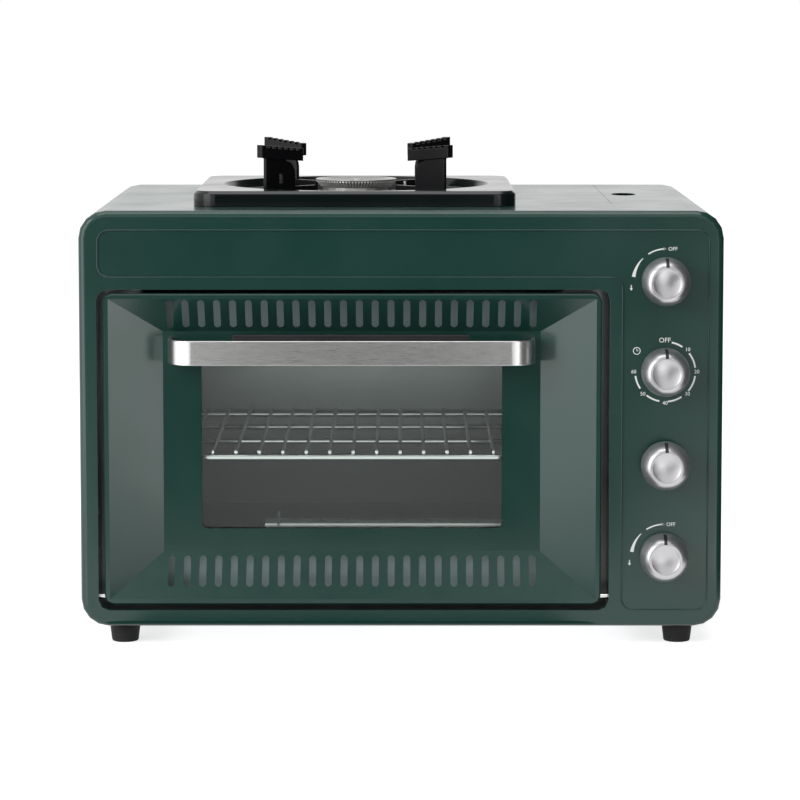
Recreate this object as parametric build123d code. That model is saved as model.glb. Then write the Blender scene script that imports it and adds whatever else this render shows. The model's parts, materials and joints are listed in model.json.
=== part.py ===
from build123d import *

import math
import os

# Portable gas oven with a stove burner on top and a cartridge bay under a lid at the top right.
# X runs to the right seen from the front, Y to the back, Z up, and the feet stand on Z = 0.
# Most places are given as a depth behind the front panel, which at() and block() turn into Y.

# Body
body_width = 490.0
body_depth = 350.0
body_height = 319.0
corner_radius = 21.0
sheet = 0.8
front_sheet = 1.2
front_rim_depth = 7.0
front_lap_depth = 14.0
front_edge_radius = 5.0
top_hole_radius = 45.0
lap_gap = 0.15
seam_gap = 0.4
seat_gap = 0.3
running_gap = 0.06
rod_sides = 12
wire_sides = 8
corner_steps = 4
edge_steps = 3
small_corner_steps = 2

# Feet
foot_height = 14.5
foot_top_radius = 12.0
foot_bottom_radius = 10.2
foot_side_inset = 32.0
foot_front_depth = 23.0
foot_rear_inset = 25.0
foot_sides = 16
foot_screw_radius = 2.5
foot_screw_head_radius = 4.5
foot_screw_head_height = 3.0

# Door opening in the front frame
opening_left_margin = 13.7
opening_right_margin = 86.2
opening_bottom_margin = 12.7
opening_top_margin = 59.8
opening_radius = 8.0
jamb_depth = 31.3

# Door
door_gap_left = 4.6
door_gap_right = 6.1
door_gap_bottom = 4.6
door_gap_top = 3.0
door_depth = 30.0
door_corner_radius = 6.5
door_rim_width = 4.0
door_edge = 1.1
bevel_left = 40.3
bevel_right = 41.8
bevel_bottom = 34.2
bevel_top = 26.7
bevel_depth = 20.0

# Vent slots in the door's upper and lower bevels
slot_pitch = 12.05
slot_width = 5.3
slot_height = 22.2
slot_top_inset = 16.1
slot_bottom_inset = 24.0
slot_corner_share = 0.29

# Door window and what lies behind it
window_side_inset = 29.4
window_top_inset = 15.0
window_bottom_inset = 17.5
window_radius = 4.0
glass_overlap = 11.0
glass_thickness = 4.0
gasket_width = 7.0
inner_window_margin = 3.0
inner_flange = 6.0

# Door handle
handle_overhang = 24.75
handle_height = 19.0
handle_thickness = 2.5
handle_reach = 10.0
handle_radius = 19.0
handle_drop = 14.0
handle_post_width = 10.0
handle_post_length = 10.0
handle_screw_radius = 2.0
handle_screw_head_radius = 3.4
handle_screw_head_height = 2.2
grip_inset = 50.0
grip_depth = 10.0
grip_rise = 4.2
grip_edge = 2.5

# Door hinge
hinge_depth = 8.0
hinge_rise = 5.2
hinge_block_height = 12.0
hinge_pin_radius = 2.0
hinge_block_length = 6.8
hinge_bush_length = 6.0
hinge_bush_front = 3.1

# Door side screws
door_screw_rises = (37.4, 67.9, 204.2)
door_screw_depth = 26.0
door_screw_radius = 1.4
door_screw_length = 6.0
door_screw_head_radius = 3.0
door_screw_head_height = 1.2

# Pressed L-shaped field of the front frame
field_left_margin = 14.5
field_right_margin = 11.0
field_top_margin = 14.5
field_bottom_margin = 13.0
field_door_margin = 9.5
field_depth = 0.8
field_radius = 9.0

# Oven cavity
cavity_side_gap = 24.7
cavity_floor_rise = 34.8
cavity_top_gap = 5.7
cavity_back_gap = 32.0
cavity_radius = 10.0
liner_flange_reach = 5.4
ledge_rises = (38.0, 75.2, 128.0)
ledge_reach = 7.0
ledge_thickness = 6.0
ledge_front_depth = 45.0
ledge_back_gap = 13.0
liner_vent_count = 7
liner_vent_pitch = 38.0
liner_vent_width = 6.0
liner_vent_depth = 175.0
liner_vent_length = 50.0
seal_width = 5.0

# Oven rack
rack_wire_radius = 2.5
rack_cross_radius = 2.0
rack_bar_radius = 1.5
rack_front_depth = 40.0
rack_back_gap = 6.0
rack_side_gap = 2.8
rack_corner_cut = 7.0
rack_bar_pitch = 18.16
rack_cross_count = 2
rack_bar_overrun = 1.0
weld_gap = 0.02

# Oven burner
oven_burner_radius = 6.5
oven_burner_depth = 110.0
oven_burner_rise = 13.0
oven_burner_left_gap = 94.0
oven_burner_overrun = 22.0
oven_burner_wall = 1.0
oven_burner_mouth_length = 14.0
oven_burner_mouth_rim = 2.0
oven_port_count = 10
oven_port_pitch = 21.0
oven_port_width = 1.6
oven_port_length = 7.0
bracket_thickness = 1.5
oven_bracket_insets = (10.0, 40.0)
oven_bracket_width = 28.0
oven_bracket_foot = 12.0
oven_bracket_rise = 10.0

# Flame sensor and lighter beside the oven burner
probe_offset = 26.0
probe_rise = 8.0
thermocouple_radius = 2.0
thermocouple_lead_radius = 1.1
thermocouple_reach = 22.0
electrode_radius = 2.5
electrode_collar_radius = 4.5
electrode_needle_radius = 1.0
electrode_reach = 12.0
probe_hole_gap = 0.2

# Stove plate on the top
stove_x = -36.0
stove_depth = 162.0
plate_width = 250.0
plate_depth = 225.0
plate_height = 12.0
plate_radius = 18.0
plate_edge = 2.4
dish_radius = 106.0
dish_floor_radius = 97.0
dish_depth = 9.6
plate_hole_radius = 31.0
dish_sides = 36

# Stove burner
burner_bowl_radius = 27.0
burner_bowl_drop = 52.5
burner_bowl_lip = 7.0
burner_bowl_wall = 3.0
burner_cap_radius = 32.5
burner_cap_height = 6.5
burner_tooth_count = 40
burner_sides = 20
burner_tooth_width = 1.2
burner_tooth_height = 4.2
mixing_rise = 9.0
mixing_radius = 8.8
mixing_wall = 0.8
mixing_tube_start = 34.0
mixing_tube_end = 244.0
mixing_stub_end = 46.0
nozzle_radius = 4.5
nozzle_start = 238.0
nozzle_end = 262.0
nozzle_depth = 32.0
burner_bracket_width = 80.0
burner_bracket_depth = 44.0
burner_bracket_foot = 14.0
burner_neck_step = 4.0
burner_neck_drop = 8.0
burner_cap_rim = 1.2
burner_cap_land = 5.0
burner_cap_hollow = 2.0
burner_cap_boss_radius = 5.0
burner_cap_boss_drop = 0.4
burner_cap_root = 2.5
stove_electrode_gap = 6.5
stove_electrode_tail = 16.0
stove_electrode_rise = 5.0
stove_electrode_tip = 6.0
stove_electrode_collar = 1.5

# Pan supports
support_inner = 61.0
support_outer = 105.5
support_bar_width = 6.0
support_bar_height = 10.0
support_rise_inner = 42.0
support_rise_outer = 46.0
support_notches = 6
support_notch_width = 3.2
support_notch_depth = 1.8
support_leg_inner = 68.0
support_leg_outer = 100.0
support_leg_thickness = 3.0
support_leg_radius = 10.0
support_leg_lift = 3.5
support_foot_inner = 46.0
support_foot_outer = 96.0
support_fin_height = 10.0
support_foot_width = 14.0
support_foot_thickness = 2.0
support_split_width = 3.0
support_split_rise = 8.0

# Controls
knob_inset = 44.0
knob_drops = {"stove": 53.5, "timer": 122.5, "safety": 193.5, "oven": 264.5}
knob_radius = 18.5
knob_height = 19.0
knob_skirt = 3.0
knob_dish_radius = 10.75
knob_dish_depth = 2.4
knob_wall = 2.0
knob_hub_radius = 6.5
knob_gap = 0.7
push_travel = 4.0
push_spare = 0.4
stem_radius = 4.0
stem_hole_radius = 6.0
stem_tail_depth = 28.0
stem_hub_length = 14.0
knob_ridge = 1.4
knob_sides = 20
mark_width = 2.5
mark_depth = 0.6
control_plate_width = 58.0
control_plate_margin = 26.0
control_plate_thickness = 1.2
valve_size = 34.0
valve_edge = 4.0
valve_back_depth = 50.0
valve_boss_radius = 10.0
valve_boss_length = 7.0
timer_size = 46.0
safety_radius = 13.0
safety_back_depth = 65.0
pipe_radius = 3.0
pipe_nut_width = 11.0
pipe_nut_length = 6.0
pipe_depth = 40.0
pipe_bend = 16.0

# Cartridge bay at the top right
bay_width = 82.0
bay_drop = 85.5
bay_front_depth = 78.0
bay_back_gap = 6.0
bay_ledge = 8.0
bay_lap = 12.0
cartridge_inset = 41.0
cartridge_drop = 48.5
cartridge_radius = 33.5
cradle_gap = 0.5
cradle_thickness = 1.2
cradle_half_angle = 48.0
cradle_front_depth = 96.0
cradle_back_gap = 20.0
cradle_foot_width = 8.0
regulator_radius = 22.0
regulator_length = 16.0
regulator_neck_radius = 9.0
regulator_neck_length = 24.0
regulator_socket_depth = 8.0
regulator_socket_wall = 3.0
collar_hole_radius = 14.0
shield_inset = 99.0
shield_flange = 12.0
shield_gap = 2.0

# Cartridge lid
lid_width = 80.0
lid_front_depth = 86.0
lid_back_gap = 10.0
lid_flange = 6.0
lid_hinge_radius = 2.5
lid_hinge_drop = 40.5
lid_pin_radius = 1.2
lid_knuckles = 5
knuckle_gap = 0.3
finger_hole_inset = 17.0
finger_hole_depth = 211.0
finger_hole_width = 20.0
finger_hole_length = 35.0
finger_hole_sides = 20

# Back panel
back_inset = 3.0
back_flange = 12.0
back_screw_radius = 1.9
back_screw_head_radius = 3.5
back_screw_head_height = 1.8
back_screw_length = 5.0
back_screw_inset = 7.0
back_screw_corner_gap = 20.0
back_screw_end_x = 120.0
duct_width = 130.0
duct_height = 22.0
duct_top_drop = 6.0
duct_vent_inset = 4.0
back_low_vent_rise = 35.5
back_side_vent_rise = 65.5

# Body vents
side_slot_count = 8
side_slot_pitch = 14.0
side_slot_width = 4.0
side_slot_height = 46.0
side_slot_rise = 80.5
side_slot_back_gap = 100.0

# Base pan
pan_vent_count = 7
pan_vent_pitch = 38.0
pan_vent_width = 6.0
pan_vent_depth = 110.0
pan_vent_length = 60.0
pan_lip_height = 10.0
pan_lip_inset = 30.0

# Values that follow from the ones above
body_bottom = foot_height
body_top = foot_height + body_height
half_width = body_width / 2
knob_reach = knob_gap + knob_height + push_travel + push_spare - field_depth
front_y = -(body_depth + back_screw_head_height - knob_reach) / 2
shell_inner_x = half_width - sheet
shell_inner_top = body_top - sheet
shell_floor = body_bottom + sheet
panel_back = field_depth + front_sheet
foot_x = half_width - foot_side_inset
opening_left = opening_left_margin - half_width
opening_right = half_width - opening_right_margin
opening_bottom = body_bottom + opening_bottom_margin
opening_top = body_top - opening_top_margin
door_left = opening_left + door_gap_left
door_right = opening_right - door_gap_right
door_bottom = opening_bottom + door_gap_bottom
door_top = opening_top - door_gap_top
rim_left = door_left + door_rim_width
rim_right = door_right - door_rim_width
rim_bottom = door_bottom + door_rim_width
rim_top = door_top - door_rim_width
flat_left = rim_left + bevel_left
flat_right = rim_right - bevel_right
flat_bottom = rim_bottom + bevel_bottom
flat_top = rim_top - bevel_top
slot_count = int((flat_right - flat_left) / slot_pitch)
window_width = flat_right - flat_left - 2 * window_side_inset
window_height = flat_top - flat_bottom - window_bottom_inset - window_top_inset
window_x = (flat_left + flat_right) / 2
window_z = flat_bottom + window_bottom_inset + window_height / 2
handle_length = window_width + 2 * handle_overhang
handle_z = flat_top - handle_drop
grip_length = handle_length - 2 * grip_inset
hinge_z = door_bottom + hinge_rise
flat_back = bevel_depth + sheet
glass_back = flat_back + glass_thickness
inner_panel_front = door_depth - sheet
cavity_x = (door_left + door_right) / 2
cavity_left = door_left + cavity_side_gap
cavity_right = door_right - cavity_side_gap
cavity_floor = opening_bottom + cavity_floor_rise
cavity_top = opening_top - cavity_top_gap
cavity_back_depth = body_depth - cavity_back_gap
ledge_heights = [cavity_floor + rise for rise in ledge_rises]
liner_face = jamb_depth + sheet
rack_width = cavity_right - cavity_left - 2 * rack_side_gap
rack_length = cavity_back_depth - rack_back_gap - rack_front_depth
rack_bar_count = int((rack_width - 4 * rack_wire_radius) / rack_bar_pitch)
rack_z = ledge_heights[1] + seat_gap + rack_wire_radius
oven_burner_left = cavity_left + oven_burner_left_gap
oven_burner_right = cavity_right + oven_burner_overrun
oven_burner_z = cavity_floor + oven_burner_rise
back_panel_depth = body_depth - sheet
plate_top = body_top + plate_height
dish_floor = plate_top - dish_depth
bowl_top = dish_floor + burner_bowl_lip
burner_bowl_bottom = body_top - burner_bowl_drop
mixing_z = burner_bowl_bottom + mixing_rise
knob_x = half_width - knob_inset
knob_heights = {name: body_top - drop for name, drop in knob_drops.items()}
valve_front = panel_back + control_plate_thickness
bay_left = half_width - bay_width
bay_floor = body_top - bay_drop
bay_back_depth = body_depth - bay_back_gap
cartridge_x = half_width - cartridge_inset
cartridge_z = body_top - cartridge_drop
shield_x = half_width - shield_inset
lid_left = half_width - lid_width
lid_back_depth = body_depth - lid_back_gap
finger_hole_x = lid_left + finger_hole_inset
lid_hinge_x = half_width - lid_hinge_radius
lid_hinge_z = body_top - lid_hinge_drop
lid_hinge_top = lid_hinge_z + lid_hinge_radius + seam_gap
lid_hinge_bottom = lid_hinge_z - lid_hinge_radius - seam_gap
lid_length = lid_back_depth - lid_front_depth
ledge_top = shell_inner_top - seat_gap


# Helpers

def at(x, depth, z):
    return Vector(x, front_y + depth, z)


def block(x, depth, z):
    size = (x[1] - x[0], depth[1] - depth[0], z[1] - z[0])
    centre = at((x[0] + x[1]) / 2, (depth[0] + depth[1]) / 2, (z[0] + z[1]) / 2)
    return Pos(centre) * Box(*size)


def front_plane(depth):
    """Plane parallel to the front, where a sketch's x is X and its y is Z."""
    return Plane(origin=(0, front_y + depth, 0), x_dir=(1, 0, 0), z_dir=(0, -1, 0))


def front_slab(outline, depth):
    return extrude(front_plane(depth[1]) * outline, amount=depth[1] - depth[0])


def top_slab(outline, z):
    """Solid from a plan outline, whose x is X and y is Y, between two heights."""
    return extrude(Plane(origin=(0, 0, z[0])) * outline, amount=z[1] - z[0])


def panel(x, z, radius):
    """Rounded rectangle outline between x and z limits, whose corners are a few flats each."""
    steps = corner_steps if radius > cavity_radius else small_corner_steps
    return make_face(Polyline(*rounded_points(x, z, radius, steps), close=True))


def rounded_points(x, z, radius, steps):
    """Corner points of a rectangle with rounded corners, counterclockwise from the right side."""
    centres = (
        (x[1] - radius, z[1] - radius),
        (x[0] + radius, z[1] - radius),
        (x[0] + radius, z[0] + radius),
        (x[1] - radius, z[0] + radius),
    )
    points = []
    for quarter, (centre_x, centre_z) in enumerate(centres):
        for i in range(steps + 1):
            angle = math.pi / 2 * (quarter + i / steps)
            points.append((centre_x + radius * math.cos(angle), centre_z + radius * math.sin(angle)))
    return points


def centred(x, z, width, height, radius):
    """Rounded rectangle outline about a middle point."""
    return panel((x - width / 2, x + width / 2), (z - height / 2, z + height / 2), radius)


def body_outline(inset):
    """The body's rounded front outline, brought in by a distance."""
    return make_face(Polyline(*body_points(inset), close=True))


def body_points(inset):
    x = half_width - inset
    z = (body_bottom + inset, body_top - inset)
    return rounded_points((-x, x), z, corner_radius - inset, corner_steps)


def stack(rings):
    """Solid whose skin joins closed rings of points, with as many points each, capped at both ends."""
    faces = [Face(Wire.make_polygon(rings[0][::-1])), Face(Wire.make_polygon(rings[-1]))]
    for low, high in zip(rings, rings[1:]):
        for i in range(len(low)):
            j = (i + 1) % len(low)
            faces.append(Face(Wire.make_polygon([low[i], low[j], high[j], high[i]])))
    return Solid(Shell(faces))


def round_bar(start, end, radius):
    """Truly round bar, for a pin or stem that a joint turns about."""
    axis = end - start
    return extrude(Plane(origin=start, z_dir=axis) * Circle(radius), amount=axis.length)


def prism(start, end, radius, sides):
    axis = end - start
    return extrude(Plane(origin=start, z_dir=axis) * RegularPolygon(radius, sides), amount=axis.length)


def rod(start, end, radius):
    """Round bar with flat facets whose corners lie on the radius."""
    return prism(start, end, radius, rod_sides)


def bore(start, end, radius):
    """Cutter for a round hole, with flat facets that clear the radius."""
    return prism(start, end, radius / math.cos(math.pi / rod_sides), rod_sides)


def lathe(profile, sides):
    """Round body with flat facets, from the (radius, height) points of its outline about Z."""
    steps = [2 * math.pi * i / sides for i in range(sides + 1)]
    faces = []
    for (r0, z0), (r1, z1) in zip(profile, profile[1:] + profile[:1]):
        if z0 == z1:
            faces.append(flat_ring(r0, r1, z0, steps))
            continue
        for a, b in zip(steps, steps[1:]):
            corners = [(r0 * math.cos(a), r0 * math.sin(a), z0), (r1 * math.cos(a), r1 * math.sin(a), z1)]
            if r1 > 0:
                corners.append((r1 * math.cos(b), r1 * math.sin(b), z1))
            if r0 > 0:
                corners.append((r0 * math.cos(b), r0 * math.sin(b), z0))
            if len(corners) > 2:
                faces.append(Face(Wire.make_polygon(corners)))
    return Solid(Shell(faces))


def flat_ring(first_radius, second_radius, height, steps):
    """Level face between two radii; a radius of 0 leaves no hole in it."""
    wires = []
    for radius in sorted((first_radius, second_radius), reverse=True):
        if radius > 0:
            corners = [(radius * math.cos(a), radius * math.sin(a), height) for a in steps[:-1]]
            wires.append(Wire.make_polygon(corners))
    return Face(wires[0], wires[1:])


def hex_nut(start, end):
    axis = end - start
    outline = Plane(origin=start, z_dir=axis) * RegularPolygon(pipe_nut_width / 2, 6, major_radius=False)
    return extrude(outline, amount=axis.length, dir=axis.normalized())


def bent_tube(points, bend, radius):
    """Pipe with flat facets along a path, whose corners are cut off at a distance."""
    route = [points[0]]
    for before, corner, after in zip(points, points[1:], points[2:]):
        route.append(corner + (before - corner).normalized() * bend)
        route.append(corner + (after - corner).normalized() * bend)
    route.append(points[-1])
    path = Polyline(*route)
    section = Plane(origin=route[0], z_dir=route[1] - route[0]) * RegularPolygon(radius, wire_sides)
    return sweep(section, path=path, transition=Transition.RIGHT)


def slots(x_centres, z, width, height):
    """Upright slots whose ends are rounded off by two cut corners each."""
    slot = chamfer(Rectangle(width, height).vertices(), width * slot_corner_share)
    return [Pos(x, z) * slot for x in x_centres]


def square_hole(start, end, width):
    axis = end - start
    return extrude(Plane(origin=start, z_dir=axis) * Rectangle(width, width), amount=axis.length)


def screw(tip, seat, head_end, shank_radius, head_radius):
    """Sheet-metal screw with a hexagon head that sits at seat."""
    axis = (head_end - tip).normalized()
    shank = Plane(origin=tip, z_dir=axis) * RegularPolygon(shank_radius, 6)
    head = Plane(origin=seat, z_dir=axis) * RegularPolygon(head_radius, 6)
    return extrude(shank, amount=(seat - tip).length) + extrude(head, amount=(head_end - seat).length)


def spaced(count, pitch, centre):
    return [centre + (i - (count - 1) / 2) * pitch for i in range(count)]


def as_one(solids):
    return Compound(children=list(solids))


# Body

def make_front_frame():
    rings = []
    for i in range(edge_steps + 1):
        turn = math.pi / 2 * i / edge_steps
        inset = front_edge_radius * (1 - math.sin(turn))
        rings.append(front_ring(body_points(inset), front_edge_radius * (1 - math.cos(turn))))
    rings.append(front_ring(body_points(0), front_rim_depth))
    rim = stack(rings)
    lap = front_slab(body_outline(sheet + lap_gap), (front_rim_depth, front_lap_depth))
    hollow = front_slab(body_outline(sheet + lap_gap + front_sheet), (front_sheet, front_lap_depth))
    frame = rim + lap - hollow
    frame += front_slab(field_outline(-front_sheet), (front_sheet, panel_back))
    frame -= front_slab(field_outline(0), (0, field_depth))
    opening_x = (opening_left, opening_right)
    opening_z = (opening_bottom, opening_top)
    wall_x = (opening_left - front_sheet, opening_right + front_sheet)
    wall_z = (opening_bottom - front_sheet, opening_top + front_sheet)
    frame += front_slab(panel(wall_x, wall_z, opening_radius + front_sheet), (front_sheet, jamb_depth))
    frame -= front_slab(panel(opening_x, opening_z, opening_radius), (0, jamb_depth))
    for z in knob_heights.values():
        frame -= bore(at(knob_x, 0, z), at(knob_x, panel_back, z), stem_hole_radius)
    pin_hole = hinge_pin_radius + running_gap
    for jamb, _, outward in hinge_sides():
        outer = at(jamb + outward * front_sheet, hinge_depth, hinge_z)
        frame -= bore(outer, outer - Vector(outward * opening_radius, 0, 0), pin_hole)
    return frame


def front_ring(points, depth):
    return [at(x, depth, z) for x, z in points]


def field_outline(inset):
    """L-shaped outline: a band over the door that turns down beside it, under the knobs."""
    left = -half_width + field_left_margin + inset
    right = half_width - field_right_margin - inset
    top = body_top - field_top_margin - inset
    bottom = body_bottom + field_bottom_margin + inset
    inner_x = opening_right + field_door_margin + inset
    inner_z = opening_top + field_door_margin + inset
    corners = [(left, inner_z), (inner_x, inner_z), (inner_x, bottom), (right, bottom), (right, top), (left, top)]
    points = []
    for before, corner, after in zip(corners[-1:] + corners, corners, corners[1:] + corners[:1]):
        points += corner_flats(Vector(*before), Vector(*corner), Vector(*after), field_radius)
    return make_face(Polyline(*points, close=True))


def corner_flats(before, corner, after, radius):
    """Points of a rounded square corner of an outline, from its start to its end."""
    back = (before - corner).normalized()
    on = (after - corner).normalized()
    centre = corner + (back + on) * radius
    points = []
    for i in range(small_corner_steps + 1):
        turn = math.pi / 2 * i / small_corner_steps
        points.append(centre - on * (radius * math.cos(turn)) - back * (radius * math.sin(turn)))
    return points


def make_outer_shell():
    wall = body_outline(0) - body_outline(sheet)
    shell = front_slab(wall, (front_rim_depth + lap_gap, body_depth - 2 * sheet))
    rear = body_outline(0) - body_outline(back_flange)
    shell += front_slab(rear, (body_depth - 2 * sheet, back_panel_depth))
    floor_cut = half_width - 2 * corner_radius - 2 * foot_top_radius
    shell -= block((-floor_cut, floor_cut), (0, body_depth), (body_bottom - sheet, shell_floor + sheet))
    shell -= block(
        (lid_left - seam_gap, half_width + sheet),
        (lid_front_depth - seam_gap, lid_back_depth + seam_gap),
        (lid_hinge_bottom, body_top + sheet),
    )
    burner_hole = (at(stove_x, stove_depth, shell_inner_top - sheet), at(stove_x, stove_depth, body_top + sheet))
    shell -= prism(*burner_hole, top_hole_radius, burner_sides)
    side_slot_z = body_bottom + side_slot_rise
    for depth in spaced(side_slot_count, side_slot_pitch, body_depth - side_slot_back_gap):
        cut = block(
            (-half_width - sheet, half_width + sheet),
            (depth - side_slot_width / 2, depth + side_slot_width / 2),
            (side_slot_z - side_slot_height / 2, side_slot_z + side_slot_height / 2),
        )
        shell -= cut
    for x, depth in foot_places():
        shell -= square_hole(at(x, depth, body_bottom - sheet), at(x, depth, shell_floor + sheet), foot_hole_width())
    for x, z in back_screw_places():
        shell -= square_hole(at(x, body_depth - 3 * sheet, z), at(x, body_depth, z), back_hole_width())
    for depth in knuckle_depths(lid=False):
        shell += knuckle(depth, skin=(lid_hinge_bottom - sheet, lid_hinge_z))
    return shell


def foot_places():
    rear = body_depth - foot_rear_inset
    return [(x, depth) for depth in (foot_front_depth, rear) for x in (-foot_x, foot_x)]


def foot_hole_width():
    return 2 * (foot_screw_radius + lap_gap)


def make_foot(x, depth):
    pocket = foot_screw_head_radius + seat_gap
    hole = foot_screw_radius + lap_gap
    middle = foot_height / 2
    profile = [
        (hole, middle),
        (pocket, middle),
        (pocket, 0),
        (foot_bottom_radius, 0),
        (foot_top_radius, foot_height),
        (hole, foot_height),
    ]
    return Pos(at(x, depth, 0)) * lathe(profile, foot_sides)


def make_foot_screws():
    screws = []
    for x, depth in foot_places():
        seat = at(x, depth, foot_height / 2)
        tip = at(x, depth, shell_floor + 4 * sheet)
        head_end = seat - Vector(0, 0, foot_screw_head_height)
        screws.append(screw(tip, seat, head_end, foot_screw_radius, foot_screw_head_radius))
    return as_one(screws)


def make_base_pan():
    edge = half_width - corner_radius - seam_gap
    front = front_lap_depth + seam_gap
    back = bay_back_depth
    pan = block((-edge, edge), (front, back), (shell_floor, shell_floor + sheet))
    for depth in (front, back - sheet):
        lip_x = (pan_lip_inset - edge, edge - pan_lip_inset)
        pan += block(lip_x, (depth, depth + sheet), (shell_floor, shell_floor + pan_lip_height))
    for x, depth in foot_places():
        pan -= square_hole(at(x, depth, shell_floor), at(x, depth, shell_floor + sheet), foot_hole_width())
    vent_depth = (pan_vent_depth - pan_vent_length / 2, pan_vent_depth + pan_vent_length / 2)
    for x in spaced(pan_vent_count, pan_vent_pitch, cavity_x):
        vent_x = (x - pan_vent_width / 2, x + pan_vent_width / 2)
        pan -= block(vent_x, vent_depth, (shell_floor, shell_floor + sheet))
    return pan


def back_screw_places():
    x = half_width - back_inset - back_screw_inset
    z_low = body_bottom + back_inset + back_screw_inset
    z_high = body_top - back_inset - back_screw_inset
    z_mid = (z_low + z_high) / 2
    heights = (z_low + back_screw_corner_gap, z_mid, z_high - back_screw_corner_gap)
    sides = [(side * x, z) for side in (-1, 1) for z in heights]
    ends = [(side * back_screw_end_x, z) for side in (-1, 1) for z in (z_low, z_high)]
    return sides + ends


def make_back_panel():
    x = half_width - back_inset
    z = (body_bottom + back_inset, body_top - back_inset)
    back = front_slab(panel((-x, x), z, corner_radius - back_inset), (back_panel_depth, body_depth))
    duct_z = cavity_top - duct_top_drop - duct_height / 2
    rows = (
        (cavity_x, duct_z, 9, duct_height - 2 * duct_vent_inset),
        (cavity_x, body_bottom + back_low_vent_rise, 9, 30),
        (cartridge_x, cartridge_z, 4, 40),
        (cartridge_x, body_bottom + back_side_vent_rise, 4, 40),
    )
    for row_x, row_z, count, height in rows:
        for slot_x in spaced(count, slot_pitch, row_x):
            cut_x = (slot_x - slot_width / 2, slot_x + slot_width / 2)
            back -= block(cut_x, (back_panel_depth, body_depth), (row_z - height / 2, row_z + height / 2))
    for sx, sz in back_screw_places():
        back -= square_hole(at(sx, back_panel_depth, sz), at(sx, body_depth, sz), back_hole_width())
    return back


def back_hole_width():
    return 2 * (back_screw_radius + running_gap)


def make_back_screws():
    screws = []
    for x, z in back_screw_places():
        tip = at(x, body_depth - back_screw_length, z)
        head_end = at(x, body_depth + back_screw_head_height, z)
        screws.append(screw(tip, at(x, body_depth, z), head_end, back_screw_radius, back_screw_head_radius))
    return as_one(screws)


# Door

def recess(thickness):
    """The door's bevelled recess, grown by a sheet thickness at right angles to each bevel."""
    across = recess_profile(rim_left, flat_left, rim_right, flat_right, thickness)
    upright = recess_profile(rim_bottom, flat_bottom, rim_top, flat_top, thickness)
    deep = 2 * body_height
    side_walls = extrude(Plane.XY * Pos(0, front_y) * across, amount=deep)
    sideways = Plane(origin=(half_width, front_y, 0), x_dir=(0, 0, 1), z_dir=(-1, 0, 0))
    end_walls = extrude(sideways * upright, amount=body_width)
    return side_walls & end_walls


def recess_profile(rim_low, flat_low, rim_high, flat_high, thickness):
    """Section of the recess: a trapezium from the rim to the flat zone, drawn with depth as y."""
    low_run = flat_low - rim_low
    high_run = rim_high - flat_high
    low = flat_low - thickness * (math.hypot(low_run, bevel_depth) - low_run) / bevel_depth
    high = flat_high + thickness * (math.hypot(high_run, bevel_depth) - high_run) / bevel_depth
    floor = bevel_depth + thickness
    low_mouth = low - low_run * floor / bevel_depth
    high_mouth = high + high_run * floor / bevel_depth
    return make_face(Polyline((low_mouth, 0), (low, floor), (high, floor), (high_mouth, 0), close=True))


def make_door_panel():
    body = stack([door_ring(door_edge, 0), door_ring(0, door_edge), door_ring(0, door_depth)])
    inner_x = (door_left + sheet, door_right - sheet)
    inner_z = (door_bottom + sheet, door_top - sheet)
    hollow = front_slab(panel(inner_x, inner_z, door_corner_radius - sheet), (sheet, door_depth))
    door = body - recess(0) - (hollow - recess(sheet))
    upper = slots(spaced(slot_count, slot_pitch, window_x), door_top - slot_top_inset, slot_width, slot_height)
    lower = slots(spaced(slot_count, slot_pitch, window_x), door_bottom + slot_bottom_inset, slot_width, slot_height)
    door -= front_slab(Sketch() + upper + lower, (0, bevel_depth + sheet))
    door -= front_slab(centred(window_x, window_z, window_width, window_height, window_radius), (bevel_depth, flat_back))
    for x in handle_screw_xs():
        door -= square_hole(at(x, bevel_depth, handle_z), at(x, flat_back, handle_z), handle_hole_width())
    for start, end in door_screw_lines():
        door -= square_hole(start, end, side_hole_width())
    for _, edge, outward in hinge_sides():
        inner_end = edge - outward * door_corner_radius
        pin_hole = hinge_pin_radius + seat_gap
        door -= bore(at(edge, hinge_depth, hinge_z), at(inner_end, hinge_depth, hinge_z), pin_hole)
    return door


def door_ring(inset, depth):
    """Ring of points round the door's outline, brought in by a distance, at a depth."""
    x = (door_left + inset, door_right - inset)
    z = (door_bottom + inset, door_top - inset)
    return front_ring(rounded_points(x, z, door_corner_radius - inset, small_corner_steps), depth)


def make_inner_panel():
    x = (door_left + sheet + lap_gap, door_right - sheet - lap_gap)
    z = (door_bottom + sheet + lap_gap, door_top - sheet - lap_gap)
    radius = door_corner_radius - sheet
    tray = front_slab(panel(x, z, radius), (door_depth - sheet - inner_flange, door_depth))
    inside_x = (x[0] + sheet, x[1] - sheet)
    inside_z = (z[0] + sheet, z[1] - sheet)
    tray -= front_slab(panel(inside_x, inside_z, radius - sheet), (0, inner_panel_front))
    width = window_width + 2 * inner_window_margin
    height = window_height + 2 * inner_window_margin
    opening = centred(window_x, window_z, width, height, window_radius + inner_window_margin)
    tray -= front_slab(opening, (inner_panel_front, door_depth))
    for start, end in door_screw_lines():
        tray -= square_hole(start, end, side_hole_width())
    return tray


def make_glass():
    return front_slab(glass_outline(0), (flat_back, glass_back))


def glass_outline(inset):
    width = window_width + 2 * (glass_overlap - inset)
    height = window_height + 2 * (glass_overlap - inset)
    return centred(window_x, window_z, width, height, window_radius - inset / gasket_width * window_radius / 2)


def make_gasket():
    return front_slab(glass_outline(0) - glass_outline(gasket_width), (glass_back, inner_panel_front))


def handle_ends():
    centre = (flat_left + flat_right) / 2
    return centre - handle_length / 2, centre + handle_length / 2


def handle_screw_xs():
    left, right = handle_ends()
    inset = handle_thickness + handle_post_width / 2
    return left + inset, right - inset


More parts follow.
